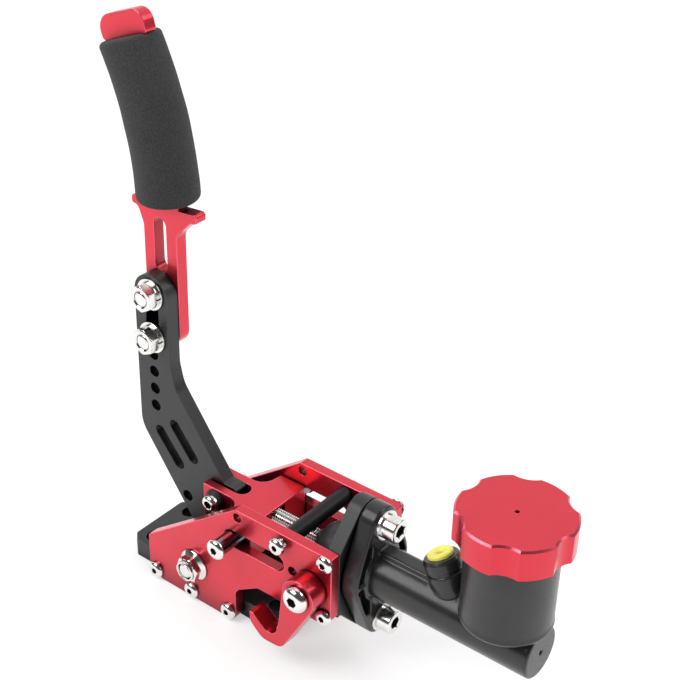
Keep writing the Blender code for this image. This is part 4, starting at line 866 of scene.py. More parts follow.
def nut_body(flats, height, bore, turn):
    """A hexagon nut along +Z with rounded corners above and below, bored through."""
    inner = flats * 0.475
    corner = flats / sqrt(3) - inner
    steps = 5
    rings = [ring_points(height * 0.14 * i / steps, inner + corner * sin(pi / 2 * i / steps),
                         flats, turn) for i in range(steps + 1)]
    rings += [ring_points(height * (0.84 + 0.16 * i / steps),
                          inner + corner * cos(pi / 2 * i / steps), flats, turn)
              for i in range(steps + 1)]
    rings += [ring_points(height, bore * 1.14), ring_points(height - bore * 0.12, bore),
              ring_points(bore * 0.12, bore), ring_points(0, bore * 1.14)]
    return stack(rings, closed=True)


def flat_ring(outer, height, edge=0.0002):
    """A washer or plain ring along +Z, with a hole for an M8 shank."""
    return turned([(M8_HOLE, 0, edge), (outer, 0, edge), (outer, height, edge),
                   (M8_HOLE, height, edge)], closed=True)


# Pieces


def side_plate_outline():
    """Outline of a side plate, seen from the near side."""
    chamfer = PLATE_REAR_CORNER
    return rounded([
        (PLATE_REAR + chamfer, 0, 0.002), (PLATE_REAR, chamfer, 0.002),
        (PLATE_REAR, PLATE_REAR_TOP, 0.003), (PLATE_SHOULDER, PLATE_TOP, 0.002),
        (PLATE_FRONT, PLATE_TOP, 0.0012), (PLATE_FRONT, LOWER_EDGE + 0.005, 0.001),
        (PLATE_FRONT - 0.005, LOWER_EDGE, 0.001),
        (NOTCH_REAR + NOTCH_RAMP + 0.003, LOWER_EDGE, 0.004),
        (NOTCH_REAR + 0.002, NOTCH_HEIGHT + 0.003, 0.002), (NOTCH_REAR, NOTCH_HEIGHT, 0.002),
        (NOTCH_REAR, 0, 0.005)])


def make_side_plates():
    """Both side plates, with guide slots, screw holes and spare holes."""
    edge = bpy.context.scene.lever_sizes.edge
    for label, side in SIDES:
        holes = [slot(SLIDER, (SLOT_FRONT, AXIS_Z), SLOT_HEIGHT / 2),
                 circle(PIVOT, M8_HOLE), circle(CROSS_ROD, M5_HOLE)]
        holes += [circle(place, SPARE_HOLE) for place in SPARE_PLACES]
        holes += [circle((x, BASE_THICKNESS / 2), M5_HOLE) for x in BASE_SCREW_X]
        holes += [circle((BRACKET_SCREW_X, z), M5_HOLE) for z in BRACKET_SCREW_Z.values()]
        if side < 0:
            holes.append(circle(LATCH, M8_HOLE))
        low, high = sorted((side * HALF_INNER, side * OUTER_FACE))
        body = plate(side_plate_outline(), holes, "Y", low, high, edge)
        add_piece(f"{label}_side_plate", body, "red", "frame", f"side_plate_{label}")


def make_base():
    """The black base plate with its four mounting holes."""
    chamfer = 0.005
    outline = rounded([
        (BASE_REAR + chamfer, -HALF_INNER, 0.002), (BASE_FRONT, -HALF_INNER, 0.003),
        (BASE_FRONT, HALF_INNER, 0.003), (BASE_REAR + chamfer, HALF_INNER, 0.002),
        (BASE_REAR, HALF_INNER - chamfer, 0.002), (BASE_REAR, chamfer - HALF_INNER, 0.002)])
    holes = [circle((x, y), M8_HOLE) for x in (-MOUNT_X, MOUNT_X) for y in (-MOUNT_Y, MOUNT_Y)]
    body = plate(outline, holes, "Z", 0, BASE_THICKNESS, 0.0007)
    add_piece("floor_plate", body, "black", "frame", "base_plate")


def two_bolt_outline(width, middle=None):
    """Lobes round the flange's bolts, tangent to a middle circle or joined by given points."""
    lean = asin((width - FLANGE_LOBE) / FLANGE_BOLT_OFFSET)
    right = arc((0, FLANGE_BOLTS["high"]), FLANGE_LOBE, pi / 2, lean)
    right += middle or arc((0, AXIS_Z), width, lean, -lean)
    right += arc((0, FLANGE_BOLTS["low"]), FLANGE_LOBE, -lean, -pi / 2)
    return right + [(-u, v) for u, v in reversed(right)][1:-1]


def make_bracket():
    """The black adapter plate that carries the cylinder."""
    outline = two_bolt_outline(BRACKET_SPREAD, [(0.0215, 0.0730), (HALF_INNER, 0.0718),
                                                (HALF_INNER, 0.0338), (0.0199, 0.0338)])
    holes = [circle((0, AXIS_Z), BRACKET_BORE), circle((0, FLANGE_BOLTS["high"]), M8_HOLE),
             circle((0, FLANGE_BOLTS["low"]), M8_HOLE)]
    body = plate(outline, holes, "X", BRACKET_REAR, PLATE_FRONT, 0.0005)
    add_piece("cylinder_bracket", body, "black", "frame", "front_bracket")


def make_cross_rod():
    """The black spacer rod near the top of the plates."""
    radius, edge = 0.0045, 0.0003
    body = turned([(radius, -HALF_INNER, edge), (radius, HALF_INNER, edge)])
    put(body, (0, 1, 0), (CROSS_ROD[0], 0, CROSS_ROD[1]))
    # The rod gets a darker copy of the black anodising as painted shade.
    add_piece("spacer_rod", body, "rod", "frame", "cross_rod")


def make_plate_screws():
    """The M5 button heads in the side plates; the rod's near screw stands out a little."""
    length, loose = 0.017, 0.003
    plain = finished_mesh("plate_screw", button_head(M5_BUTTON, length), "zinc")
    places = [(f"base_screw_{label}_{i}", side, x, BASE_THICKNESS / 2)
              for i, x in enumerate(BASE_SCREW_X, 1) for label, side in SIDES]
    places += [(f"bracket_screw_{label}_{height}", side, BRACKET_SCREW_X, z)
               for height, z in BRACKET_SCREW_Z.items() for label, side in SIDES]
    places.append(("cross_rod_screw_far", 1, *CROSS_ROD))
    for number, (node, side, x, z) in enumerate(places):
        screw = add_object(node.replace("_screw", "_button"), plain)
        spin = Matrix.Rotation(0.7 * number, 4, "Z")
        screw.matrix_world = facing((0, side, 0), (x, side * OUTER_FACE, z)) @ spin
        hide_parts(node)
        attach(screw, "frame")
    screw = button_head(M5_BUTTON, length, bpy.context.scene.lever_sizes.screw_pitch)
    put(screw, (0, -1, 0), (CROSS_ROD[0], -OUTER_FACE - loose, CROSS_ROD[1]))
    add_piece("cross_rod_button_near", screw, "zinc", "frame", "cross_rod_screw_near")


def make_pivot():
    """The lever's main pivot: bolt, flange nut with its locking ring, bush and spacers."""
    bolt = put(button_head(M8_BUTTON, 0.0644), (0, 1, 0), (0, OUTER_FACE, PIVOT_Z))
    add_piece("main_pivot_bolt", bolt, "zinc", "frame", "pivot_bolt")
    height, turn = 0.0080, radians(12)
    rings = [ring_points(h, r) for r, h in ((0.0086, 0), (0.0089, 0.0003), (0.0089, 0.0009),
                                            (0.0086, 0.0013))]
    rings.append(ring_points(0.0026, 0.0071, M8_FLATS, turn))
    for i in range(6):
        reach = 0.0059 + 0.0016 * cos(pi / 2 * i / 5)
        rings.append(ring_points(0.0052 + 0.0013 * i / 5, reach, M8_FLATS, turn))
    rings += [ring_points(h, r) for r, h in (
        (0.0058, 0.0066), (0.0057, height - 0.0006), (0.0055, height - 0.0002), (0.0051, height),
        (0.0047, height - 0.0002), (0.0044, height - 0.0008), (M8_HOLE, 0))]
    nut = put(stack(rings, closed=True), (0, -1, 0), (0, -OUTER_FACE, PIVOT_Z))
    add_piece("main_pivot_nut", nut, "zinc", "frame", "pivot_nut")
    inner_end, bush = 0.0044, 0.0086
    for label, side in SIDES:
        ring = flat_ring(0.0068, HALF_INNER - inner_end, 0.0003)
        put(ring, (0, side, 0), (0, side * inner_end, PIVOT_Z))
        add_piece(f"{label}_pivot_spacer", ring, "zinc", "frame", f"pivot_spacer_{label}")
    ring = put(flat_ring(0.0060, bush), (0, 1, 0), (0, -bush / 2, PIVOT_Z))
    add_piece("arm_bush", ring, "bronze", "lever", "pivot_bush")


def arm_outline():
    """Outline of the lever arm: upright top, bend, broad foot round the pivot."""
    radius = (ARM_RIGHT - ARM_LEFT) / 2 - 0.0001
    foot = PIVOT_Z - 0.0115
    return rounded([
        (ARM_LEFT, ARM_TOP, radius), (ARM_LEFT, 0.0745, 0.018), (-0.0205, 0.0219, 0.004),
        (-0.0125, foot, 0.005), (0.0115, foot, 0.0110), (0.0115, PIVOT_Z + 0.008, 0.010),
        (0.0083, LINK_PIN[1] - 0.009, 0.010), (0.0083, 0.0613, 0.003), (-0.0002, 0.0613, 0.0015),
        (-0.0338, 0.1065, 0.020), (ARM_RIGHT, 0.1180, 0.020), (ARM_RIGHT, ARM_TOP, radius)],
        radians(5))


def make_arm():
    """The black lever arm with its holes and lightening slots."""
    centre = (ARM_LEFT + ARM_RIGHT) / 2
    low, high = HANDLE_BOLTS.values()
    holes = [circle(PIVOT, ARM_BUSH_HOLE), circle(LINK_PIN, ARM_LINK_HOLE),
             circle(ARM_LOW_HOLE, ARM_HOLE)]
    holes += [circle((centre, ARM_HOLE_FIRST + ARM_HOLE_PITCH * i), ARM_HOLE) for i in range(4)]
    holes += [slot(*ends, LIGHTENING_RADIUS) for ends in LIGHTENING_SLOTS]
    holes.append(slot((HANDLE_BOLT_X, low), (HANDLE_BOLT_X, high), M8_HOLE))
    body = plate(arm_outline(), holes, "Y", -HALF_ARM, HALF_ARM,
                 bpy.context.scene.lever_sizes.edge)
    add_piece("brake_arm", body, "black", "lever", "lever_arm")


def bend_point(angle, offset):
    """A point on the grip's curved centreline, offset to its outer side."""
    reach = GRIP_BEND_RADIUS + offset
    return (GRIP_START[0] - GRIP_BEND_RADIUS + reach * cos(angle),
            GRIP_START[1] + reach * sin(angle))


def make_handle():
    """The red handle plate: slotted neck, collar under the grip, broad tip above it."""
    left, right = HANDLE_CENTRE - HANDLE_WIDTH / 2, HANDLE_CENTRE + HANDLE_WIDTH / 2
    top, under = COLLAR_Z + COLLAR_THICKNESS / 2, COLLAR_Z - COLLAR_THICKNESS / 2
    shoulder = under - COLLAR_FLARE
    root = asin((top - GRIP_START[1]) / GRIP_BEND_RADIUS)
    angles = [root + (CORE_END - root) * i / 24 for i in range(25)]
    outer = [(*bend_point(a, CORE_HALF_WIDTH), 0) for a in angles]
    inner = [(*bend_point(a, -CORE_HALF_WIDTH), 0) for a in reversed(angles)]
    tip = [(TIP_CENTRE[0] + u * cos(TIP_TILT) - v * sin(TIP_TILT),
            TIP_CENTRE[1] + u * sin(TIP_TILT) + v * cos(TIP_TILT), fillet)
           for u, v, fillet in ((CORE_HALF_WIDTH, TIP_LOW, 0), (0.0160, TIP_LOW, 0.0022),
                                (0.0166, TIP_HIGH, 0.0066), (-0.0155, TIP_HIGH, 0.0080),
                                (-0.0148, TIP_LOW, 0.0022), (-CORE_HALF_WIDTH, TIP_LOW, 0))]
    start = GRIP_START[0] - COLLAR_HALF_WIDTH - COLLAR_REAR
    end = GRIP_START[0] + COLLAR_HALF_WIDTH
    corners = [(left, HANDLE_BOTTOM, 0.009), (right, HANDLE_BOTTOM, 0.009),
               (right, shoulder, 0.006), (end - 0.004, under + 0.0008, 0.004),
               (end, under + COLLAR_RISE, 0.0018), (end, top + COLLAR_RISE, 0.0018)]
    corners += outer + tip + inner
    corners += [(start, top, 0.0018), (start, under, 0.0018), (start + 0.004, under, 0.004),
                (left, shoulder, 0.006)]
    holes = [slot(*HANDLE_SLOT, HANDLE_SLOT_RADIUS)]
    holes += [circle((HANDLE_BOLT_X, z), M8_HOLE) for z in HANDLE_BOLTS.values()]
    body = plate(rounded(corners), holes, "Y", HANDLE_NEAR, HANDLE_FAR, 0.0005)
    add_piece("grip_plate", body, "red", "lever", "handle_plate")


def end_lean(share, offset):
    """How far the grip's upper end is cut on a slant, for a place along it and across it."""
    weight = max(0.0, (share - 0.75) / 0.25) ** 2
    return weight * (0.0004 - offset * tan(GRIP_ANGLE - TIP_TILT))


def grip_ring(start, along, share, reach_at):
    """A ring round the grip's bend, from how far it reaches at each turn."""
    ring = []
    for i in range(96):
        turn = 2 * pi * i / 96
        reach = reach_at(turn)
        angle = start + (along + end_lean(share, reach * cos(turn))) / GRIP_BEND_RADIUS
        u, v = bend_point(angle, reach * cos(turn))
        ring.append((u, HANDLE_MID + reach * sin(turn), v))
    return ring


def core_reach(turn):
    """How far the grip's flat inner hole reaches at a turn."""
    wide, thick = CORE_HALF_WIDTH + 0.0003, 0.0038
    return min(wide / max(abs(cos(turn)), 1e-6), thick / max(abs(sin(turn)), 1e-6))


def make_grip():
    """The foam grip: a bent sleeve with soft rims, stretched over the handle plate."""
    low = COLLAR_Z + COLLAR_THICKNESS / 2 + GRIP_GAP + 0.0016
    start = asin((low - GRIP_START[1]) / GRIP_BEND_RADIUS)
    length = (GRIP_ANGLE - start) * GRIP_BEND_RADIUS
    rim = 0.0024
    stations = [(rim * (1 - cos(pi / 2 * i / 6)), -rim * (1 - sin(pi / 2 * i / 6)))
                for i in range(7)]
    middle = [(rim + (length - 2 * rim) * i / 72, 0.0) for i in range(1, 72)]
    far = [(length - along, inset) for along, inset in reversed(stations)]
    rings = []
    for along, inset in stations + middle + far:
        share = along / length
        swell = 0.00018 * sin(9.0 * share + 0.6) + 0.00010 * sin(23.0 * share)
        radius = GRIP_RADIUS_LOW + (GRIP_RADIUS_HIGH - GRIP_RADIUS_LOW) * share + inset
        rings.append(grip_ring(start, along, share, lambda turn: (
            radius - 0.0003 + swell * sin(turn * 2 + share * 5) * 0.6)))
    for step in range(24, -1, -1):
        along = length * step / 24
        rings.append(grip_ring(start, along, along / length, core_reach))
    piece = add_piece("foam_grip", stack(rings, closed=True), "foam", "lever", "grip",
                      sharp=radians(50))


def make_handle_fasteners():
    """Bolts, washers, spring washers and nuts that clamp the handle to the arm."""
    washer_height, spring_height = 0.0012, 0.0016
    flat = -HALF_ARM - washer_height
    spring = flat - spring_height
    x = HANDLE_BOLT_X
    for number, (label, z) in enumerate(HANDLE_BOLTS.items()):
        head = button_head(M8_BUTTON, HANDLE_FAR - spring - 0.0005)
        put(head, (0, 1, 0), (x, HANDLE_FAR, z))
        end = turned([(0.0040, 0, 0.0002), (0.0040, 0.0053, 0.0004), (0.0032, 0.0057, 0.0002)])
        put(end, (0, -1, 0), (x, spring + 0.0006, z))
        add_piece(f"clamp_bolt_{label}", joined(head, end), "zinc", "lever",
                  f"handle_bolt_{label}")
        washer = put(flat_ring(0.0086, washer_height), (0, -1, 0), (x, -HALF_ARM, z))
        add_piece(f"clamp_washer_{label}", washer, "zinc", "lever", f"handle_washer_{label}")
        ring = put(flat_ring(0.0072, spring_height), (0, -1, 0), (x, flat, z))
        gap = plate([(x + 0.003, z - 0.0006), (x + 0.012, z - 0.0003), (x + 0.012, z + 0.0007),
                     (x + 0.003, z + 0.0004)], [], "Y", spring - 0.002, flat + 0.0002, 0.0)
        add_piece(f"clamp_spring_washer_{label}", cut(ring, gap), "zinc", "lever",
                  f"handle_spring_washer_{label}")
        nut = nut_body(M8_FLATS, 0.0052, M8_HOLE, radians(24 + 7 * number))
        put(nut, (0, -1, 0), (x, spring, z))
        add_piece(f"clamp_nut_{label}", nut, "zinc", "lever", f"handle_nut_{label}")


def make_fork():
    """The red fork between the lever arm and the slider pin."""
    gap = HALF_ARM + 0.0006
    end = 0.0133 - gap
    through = 0.03
    neck = FORK_HEAD_REAR + 0.0015
    corners = [(FORK_HEAD_REAR, -FORK_CHEEK, 0.008), (neck, -FORK_WIDE, 0.0008),
               (FORK_FRONT, -FORK_WIDE, 0.001), (FORK_FRONT, FORK_WIDE, 0.001),
               (neck, FORK_WIDE, 0.0008), (FORK_HEAD_REAR, FORK_CHEEK, 0.008),
               (FORK_REAR, FORK_CHEEK, 0.001), (FORK_REAR, gap, 0.0006)]
    corners += [(u, v, 0) for u, v in arc((end, 0), gap, pi / 2, -pi / 2)]
    corners += [(FORK_REAR, -gap, 0.0006), (FORK_REAR, -FORK_CHEEK, 0.001)]
    body = plate(rounded(corners), [], "Z", FORK_BOTTOM, FORK_TOP, 0.0005)
    half, front = 0.0055, FORK_FRONT + 0.004
    window = plate([(SLIDER_X, -half), (front, -half), (front, half), (SLIDER_X, half)], [], "Z",
                   AXIS_Z - 0.0078, AXIS_Z + 0.0046, 0.0)
    body = cut(body, drill("Y", SLIDER, 0.0055, -through, through),
               drill("Y", LINK_PIN, LINK_HOLE, -through, through), window)
    add_piece("link_fork", body, "red", "fork", "fork")


def make_fork_pin():
    """The link pin, its taper bushes and its nut."""
    x, z = LINK_PIN
    seat = FORK_CHEEK + 0.0030
    far_seat = FORK_CHEEK + 0.0010
    pin = button_head((0.0030, 0.0050, 0.0033, 0.0040), seat + far_seat + 0.0030)
    add_piece("link_pin", put(pin, (0, -1, 0), (x, -seat, z)), "zinc", "fork", "fork_pin")
    for (label, side), high in zip(SIDES, (seat - FORK_CHEEK, far_seat - FORK_CHEEK)):
        bush = turned([(LINK_HOLE, 0, 0.0001), (0.0064, 0, 0.0003), (0.0051, high, 0.0004),
                       (LINK_HOLE, high, 0.0001)], closed=True)
        put(bush, (0, side, 0), (x, side * FORK_CHEEK, z))
        add_piece(f"link_bush_{label}", bush, "black", "fork", f"fork_pin_bush_{label}")
    nut = nut_body(0.0080, 0.0028, LINK_HOLE, radians(30))
    add_piece("link_nut", put(nut, (0, 1, 0), (x, far_seat, z)), "zinc", "fork", "fork_pin_nut")


def make_slider():
    """The slider pin, polished where it stands out of the near slot, and its screws."""
    near, far = OUTER_FACE + 0.0110, OUTER_FACE + 0.0015
    thin, thick, barrel = 0.0045, 0.0053, FORK_WIDE
    body = turned([(thin, -near, 0.0004), (thin, -barrel, 0.0001), (thick, -barrel, 0.0003),
                   (thick, barrel, 0.0003), (thin, barrel, 0.0001), (thin, far, 0.0004)])
    put(body, (0, 1, 0), (SLIDER_X, 0, AXIS_Z))
    body = cut(body, drill("X", (0, AXIS_Z), M8_HOLE, SLIDER_X - 0.010, SLIDER_X + 0.010))
    add_piece("guide_pin", body, "sleeve", "slider", "slider_pin")
    for label, side, reach in (("near", -1, near), ("far", 1, far)):
        screw = button_head((0.0030, 0.0055, 0.0027, 0.0036), 0.006)
        put(screw, (0, side, 0), (SLIDER_X, side * reach, AXIS_Z))
        add_piece(f"guide_pin_button_{label}", screw, "zinc", "slider",
                  f"slider_pin_screw_{label}")


def make_pushrod():
    """The threaded pushrod between the slider pin and the piston."""
    rear, radius, plain_radius = SLIDER_X - 0.0050, 0.0040, 0.0036
    ball_x, ball = 0.1010, 0.0052
    neck = ball_x - sqrt(ball ** 2 - radius ** 2)
    thread = threaded(radius, bpy.context.scene.lever_sizes.rod_pitch, rear, 0.0700)
    points = [(plain_radius, 0.0695), (plain_radius, neck)]
    points += [(max(v, 1e-5), u)
               for u, v in arc((ball_x, 0), ball, pi - asin(plain_radius / ball), 0)]
    plain = stack([ring_points(h, r) for r, h in points])
    body = put(joined(thread, plain), *ALONG_AXIS)
    add_piece("threaded_pushrod", body, "zinc", "slider", "pushrod")


def make_boot():
    """The rubber dust boot on the cylinder's spigot."""
    seat, outer, end = 0.0750, 0.0150, 0.0062
    lip, rear = BRACKET_REAR - 0.0002, 0.0610
    outside = [(outer, lip), (outer, seat + 0.0010)]
    for i in range(1, 13):
        turn = pi / 2 * i / 12
        outside.append((end + (outer - end) * cos(turn), seat + 0.0010 - 0.0125 * sin(turn)))
    outside += [(0.0056, rear + 0.0006), (0.0053, rear)]
    inside = [(0.0045, rear), (0.0045, rear + 0.0025), (0.0087, seat - 0.0085),
              (0.0114, seat - 0.006), (0.0130, seat - 0.002), (0.0130, lip)]
    rings = [ring_points(h, r) for r, h in outside + inside]
    add_piece("rubber_boot", put(stack(rings, closed=True), *ALONG_AXIS), "boot", "frame",
              "dust_boot")


def port_place():
    """Placement of the outlet: +Z up its tilted axis, from the cylinder's axis."""
    return Matrix.Translation((PORT_X, 0, AXIS_Z)) @ Matrix.Rotation(-PORT_TILT, 4, "Y")


def make_cylinder():
    """The cast master cylinder: ribbed flange, tube, ridge, outlet boss and reservoir."""
    pockets = []
    for side in (-1, 1):
        for top in (-1, 1):
            corners = [(0.0150, 0.0013), (0.0196, 0.0013), (0.0120, 0.0208), (0.0086, 0.0208),
                       (0.0090, 0.0134), (0.0128, 0.0092)]
            outline = rounded([(side * u, AXIS_Z + top * v, 0.0008) for u, v in corners])
            pockets.append(plate(outline, [], "X", PLATE_FRONT + 0.0035, FLANGE_FRONT + 0.004,
                                 0.0))
    flange = plate(two_bolt_outline(FLANGE_MID),
                   [circle((0, height), M8_HOLE) for height in FLANGE_BOLTS.values()],
                   "X", PLATE_FRONT, FLANGE_FRONT, 0.0012)
    tube, collar, spigot = [put(turned(corners), *ALONG_AXIS) for corners in (
        [(TUBE_RADIUS, PLATE_FRONT + 0.001, 0), (TUBE_RADIUS, TUBE_END, 0.0010)],
        [(TUBE_RADIUS + 0.0008, PLATE_FRONT + 0.002, 0),
         (TUBE_RADIUS + 0.0008, FLANGE_FRONT - 0.001, 0), (TUBE_RADIUS, FLANGE_FRONT, 0)],
        [(0.0125, PLATE_FRONT - 0.015, 0), (0.0125, PLATE_FRONT + 0.003, 0)])]
    ridge = plate(rounded([(-RIDGE, AXIS_Z, 0), (RIDGE, AXIS_Z, 0), (RIDGE, RIDGE_TOP, 0.0014),
                           (-RIDGE, RIDGE_TOP, 0.0014)]), [], "X", PLATE_FRONT + 0.001,
                  RESERVOIR_X - 0.010, 0.0)
    mouth, low = RESERVOIR_RADIUS, RESERVOIR_BOTTOM
    reservoir = turned([(mouth - 0.0006, low, 0.0009), (mouth + 0.0005, low + 0.0016, 0.0008),
                        (mouth, low + 0.004, 0.002), (mouth, CAP_BOTTOM - 0.001, 0),
                        (RESERVOIR_NECK, CAP_BOTTOM + 0.0018, 0),
                        (RESERVOIR_NECK, RESERVOIR_TOP, 0.0005)])
    moved(reservoir, Matrix.Translation((RESERVOIR_X, 0, 0)))
    boss = moved(turned([(0.0066, 0, 0), (PORT_RADIUS, PORT_LENGTH - 0.0110, 0.0006),
                         (PORT_RADIUS, PORT_LENGTH - 0.0078, 0.0006),
                         (0.0062, PORT_LENGTH - 0.0074, 0)]), port_place())
    body = cut(flange, *pockets)
    body = cut(body, tube, collar, spigot, ridge, reservoir, boss, operation="UNION")
    centre_mark = 0.0013
    tools = [drill("X", (0, AXIS_Z), BORE_RADIUS, PLATE_FRONT - 0.017, BORE_END),
             drill("Z", (RESERVOIR_X, 0), RESERVOIR_INSIDE, RESERVOIR_FLOOR, 0.1240),
             drill("X", (0, AXIS_Z), centre_mark, TUBE_END - 0.003, TUBE_END + 0.002)]
    item = working_object(cut(body, *tools))
    voxels = item.modifiers.new("Cast skin", "REMESH")
    voxels.mode = "VOXEL"
    voxels.voxel_size = bpy.context.scene.lever_sizes.casting_voxel
    voxels.use_smooth_shade = True
    soft = item.modifiers.new("Cast fillets", "SMOOTH")
    soft.factor = 0.5
    soft.iterations = 7
    add_piece("cast_cylinder", evaluated_body(item), "casting", "frame", "cylinder_body",
              sharp=radians(60))
    bore, top = 0.0048, PORT_LENGTH
    neck = turned([(bore, top - 0.013, 0), (0.0086, top - 0.0090, 0.0002),
                   (0.0086, top - 0.0064, 0.0002), (PORT_RADIUS, top - 0.0060, 0.0004),
                   (PORT_RADIUS, top - 0.0016, 0.0008), (0.0084, top, 0.0005),
                   (bore, top, 0.0002)], closed=True)
    add_piece("outlet_neck", moved(neck, port_place()), "casting", "frame", "cylinder_body")


def make_flange_bolts():
    """The two socket cap screws and washers that hold the cylinder."""
    for number, (label, z) in enumerate(FLANGE_BOLTS.items()):
        screw = socket_cap(0.0040, 0.0063, 0.0076, 0.0060, 0.0200)
        put(screw, (1, 0, 0), (WASHER_FACE, 0, z), radians(20 + 25 * number))
        add_piece(f"flange_cap_screw_{label}", screw, "zinc", "frame", f"flange_screw_{label}")
        washer = put(flat_ring(0.0078, 0.0015), (1, 0, 0), (FLANGE_FRONT, 0, z))
        add_piece(f"flange_ring_{label}", washer, "zinc", "frame", f"flange_washer_{label}")


def make_plug():
    """The yellow shipping plug in the outlet."""
    top, stem, rim = PORT_LENGTH, 0.0045, 0.0064
    profile = [(0.0018, top - 0.0080, 0.0002), (stem, top - 0.0080, 0.0002), (stem, top, 0),
               (rim, top, 0.0002), (rim, top + 0.0016, 0.0006), (0.0052, top + 0.0022, 0.0006),
               (0.0028, top + 0.0020, 0.0006), (0.0018, top + 0.0010, 0.0003)]
    body = moved(turned(profile, closed=True), port_place())
    add_piece("shipping_plug", body, "plug", "frame", "outlet_plug")


def cap_outline():
    """The cap's rim: a circle with evenly spaced concave finger scallops."""
    scallop, depth, phase = 0.0120, 0.0024, radians(51.9)
    reach = CAP_RADIUS - depth + scallop
    half = acos((reach ** 2 + CAP_RADIUS ** 2 - scallop ** 2) / (2 * reach * CAP_RADIUS))
    pitch = pi / 3
    points = []
    for i in range(6):
        middle = phase + i * pitch
        for step in range(-12, 13):
            lean = half * step / 12
            radius = reach * cos(lean) - sqrt(max(0.0, scallop ** 2 - (reach * sin(lean)) ** 2))
            points.append((radius * cos(middle + lean), radius * sin(middle + lean)))
        points += arc((0, 0), CAP_RADIUS, middle + half, middle + pitch - half, radians(3))[1:-1]
    return [(RESERVOIR_X + u, v) for u, v in points]


def make_cap():
    """The red scalloped reservoir cap with its vent, and the diaphragm under it."""
    centre = (RESERVOIR_X, 0)
    body = plate(cap_outline(), [], "Z", CAP_BOTTOM, CAP_TOP, 0.0009, 0)
    inside, vent = 0.0242, 0.0011
    body = cut(body, drill("Z", centre, inside, CAP_BOTTOM - 0.002, CAP_TOP - 0.0035),
               drill("Z", centre, vent, CAP_TOP - 0.006, CAP_TOP + 0.002))
    add_piece("scalloped_cap", body, "red", "cap", "reservoir_cap", sharp=radians(20))
    paint_node("cap_diaphragm", "seal")


def make_latch():
    """The red latch hook on the near plate, and its shoulder screw."""
    u, v = LATCH
    boss = arc((0, 0), 0.0096, radians(-31), radians(172))
    shank = [(-0.0098, -0.0010), (-0.0122, -0.0235)]
    throat = arc((-0.0184, -0.0272), 0.0052, radians(8), radians(-119))
    wall = arc((0, 0), 0.0380, radians(236), radians(222), radians(3))
    outer = rounded([(-0.0309, -0.0258, 0.0005), (-0.0305, -0.0318, 0.0055),
                     (-0.0228, -0.0390, 0.0080), (-0.0101, -0.0383, 0.0062),
                     (0.0082, -0.0049, 0)])[:-1]
    outline = [(u + a, v + b) for a, b in boss + shank + throat + wall + outer]
    gap, thickness = 0.0004, 0.0100
    near = -OUTER_FACE - gap
    body = plate(outline, [circle(LATCH, M8_HOLE)], "Y", near - thickness, near, 0.00045)
    add_piece("hold_hook", body, "red", "latch", "latch_hook")
    screw = put(button_head(M8_BUTTON, 0.0178), (0, -1, 0), (u, near - thickness - gap, v))
    add_piece("hook_screw", screw, "zinc", "frame", "latch_screw")


def paint_inner_pieces():
    """Finishes for the pieces inside the cylinder, whose own shapes stay."""
    for node, kind in (("piston", "aluminium"), ("return_spring", "spring"),
                       ("retaining_ring", "spring"), ("piston_seal_rear", "seal"),
                       ("piston_seal_front", "seal")):
        paint_node(node, kind)


# Stage


def seen_rays(tree):
    """Whether a ray comes from the camera, off gloss or through glass; and off gloss alone."""
    path = tree.nodes.new("ShaderNodeLightPath").outputs
    seen = combine(tree, "MAXIMUM", path["Is Camera Ray"], path["Is Glossy Ray"])
    return combine(tree, "MAXIMUM", seen, path["Is Transmission Ray"]), path["Is Glossy Ray"]


def pale_floor():
    """White floor that shows white to the camera and keeps the lever's shadow."""
    made = bpy.data.materials.new("pale floor")
    made.use_nodes = True
    tree = made.node_tree
    tree.nodes.clear()
    noise = add_node(tree, "ShaderNodeTexNoise", "Paper", Vector=object_place(tree), Scale=300.0,
                     Detail=2.0)
    paper = mixed(tree, noise.outputs["Fac"], (0.63, 0.63, 0.63), (0.65, 0.65, 0.65))
    matt = add_node(tree, "ShaderNodeBsdfDiffuse", Color=paper)
    glow = add_node(tree, "ShaderNodeEmission",
                    Strength=combine(tree, "MULTIPLY", seen_rays(tree)[0], 0.45))
    both = add_node(tree, "ShaderNodeAddShader", "", matt.outputs[0], glow.outputs[0])
    add_node(tree, "ShaderNodeOutputMaterial", Surface=both.outputs[0])
    return made


def room_light(strength):
    """White room, strength 1 where it is seen; gloss mirrors one white wall and a dark ceiling."""
    world = bpy.data.worlds.new("white room")
    bpy.context.scene.world = world
    world.use_nodes = True
    tree = world.node_tree
    tree.nodes.clear()
    seen, dark = seen_rays(tree)
    place = tree.nodes.new("ShaderNodeTexCoord").outputs["Generated"]
    for direction, low, high, first, last in (((0, 0, 1), 0.0, 1.0, -0.03, 0.10),
                                              ((-0.519, 0.681, 0.517), 1.0, 0.0, 0.55, 0.75)):
        lean = tree.nodes.new("ShaderNodeVectorMath")
        lean.operation = "DOT_PRODUCT"
        lean.inputs[1].default_value = direction
        tree.links.new(place, lean.inputs[0])
        share = spread_to(tree, lean.outputs["Value"], low, high, first, last)
        dark = combine(tree, "MULTIPLY", dark, share)
    soft = add_node(tree, "ShaderNodeBackground", "Light", Color=(1, 1, 1, 1), Strength=strength)
    white = add_node(tree, "ShaderNodeBackground", "Seen", Strength=1.0,
                     Color=mixed(tree, dark, (1, 1, 1), (0.06, 0.06, 0.06)))
    pick = add_node(tree, "ShaderNodeMixShader", "", seen, soft.outputs[0], white.outputs[0])
    add_node(tree, "ShaderNodeOutputWorld", Surface=pick.outputs[0])


def add_lamp(name, place, target, width, power):
    """A square soft lamp that faces a point."""
    data = bpy.data.lights.new(name, "AREA")
    data.shape = "SQUARE"
    data.size = width
    data.energy = power
    lamp = add_object(name, data)
    lamp.location = place
    lamp.rotation_euler = (Vector(target) - Vector(place)).to_track_quat("-Z", "Y").to_euler()


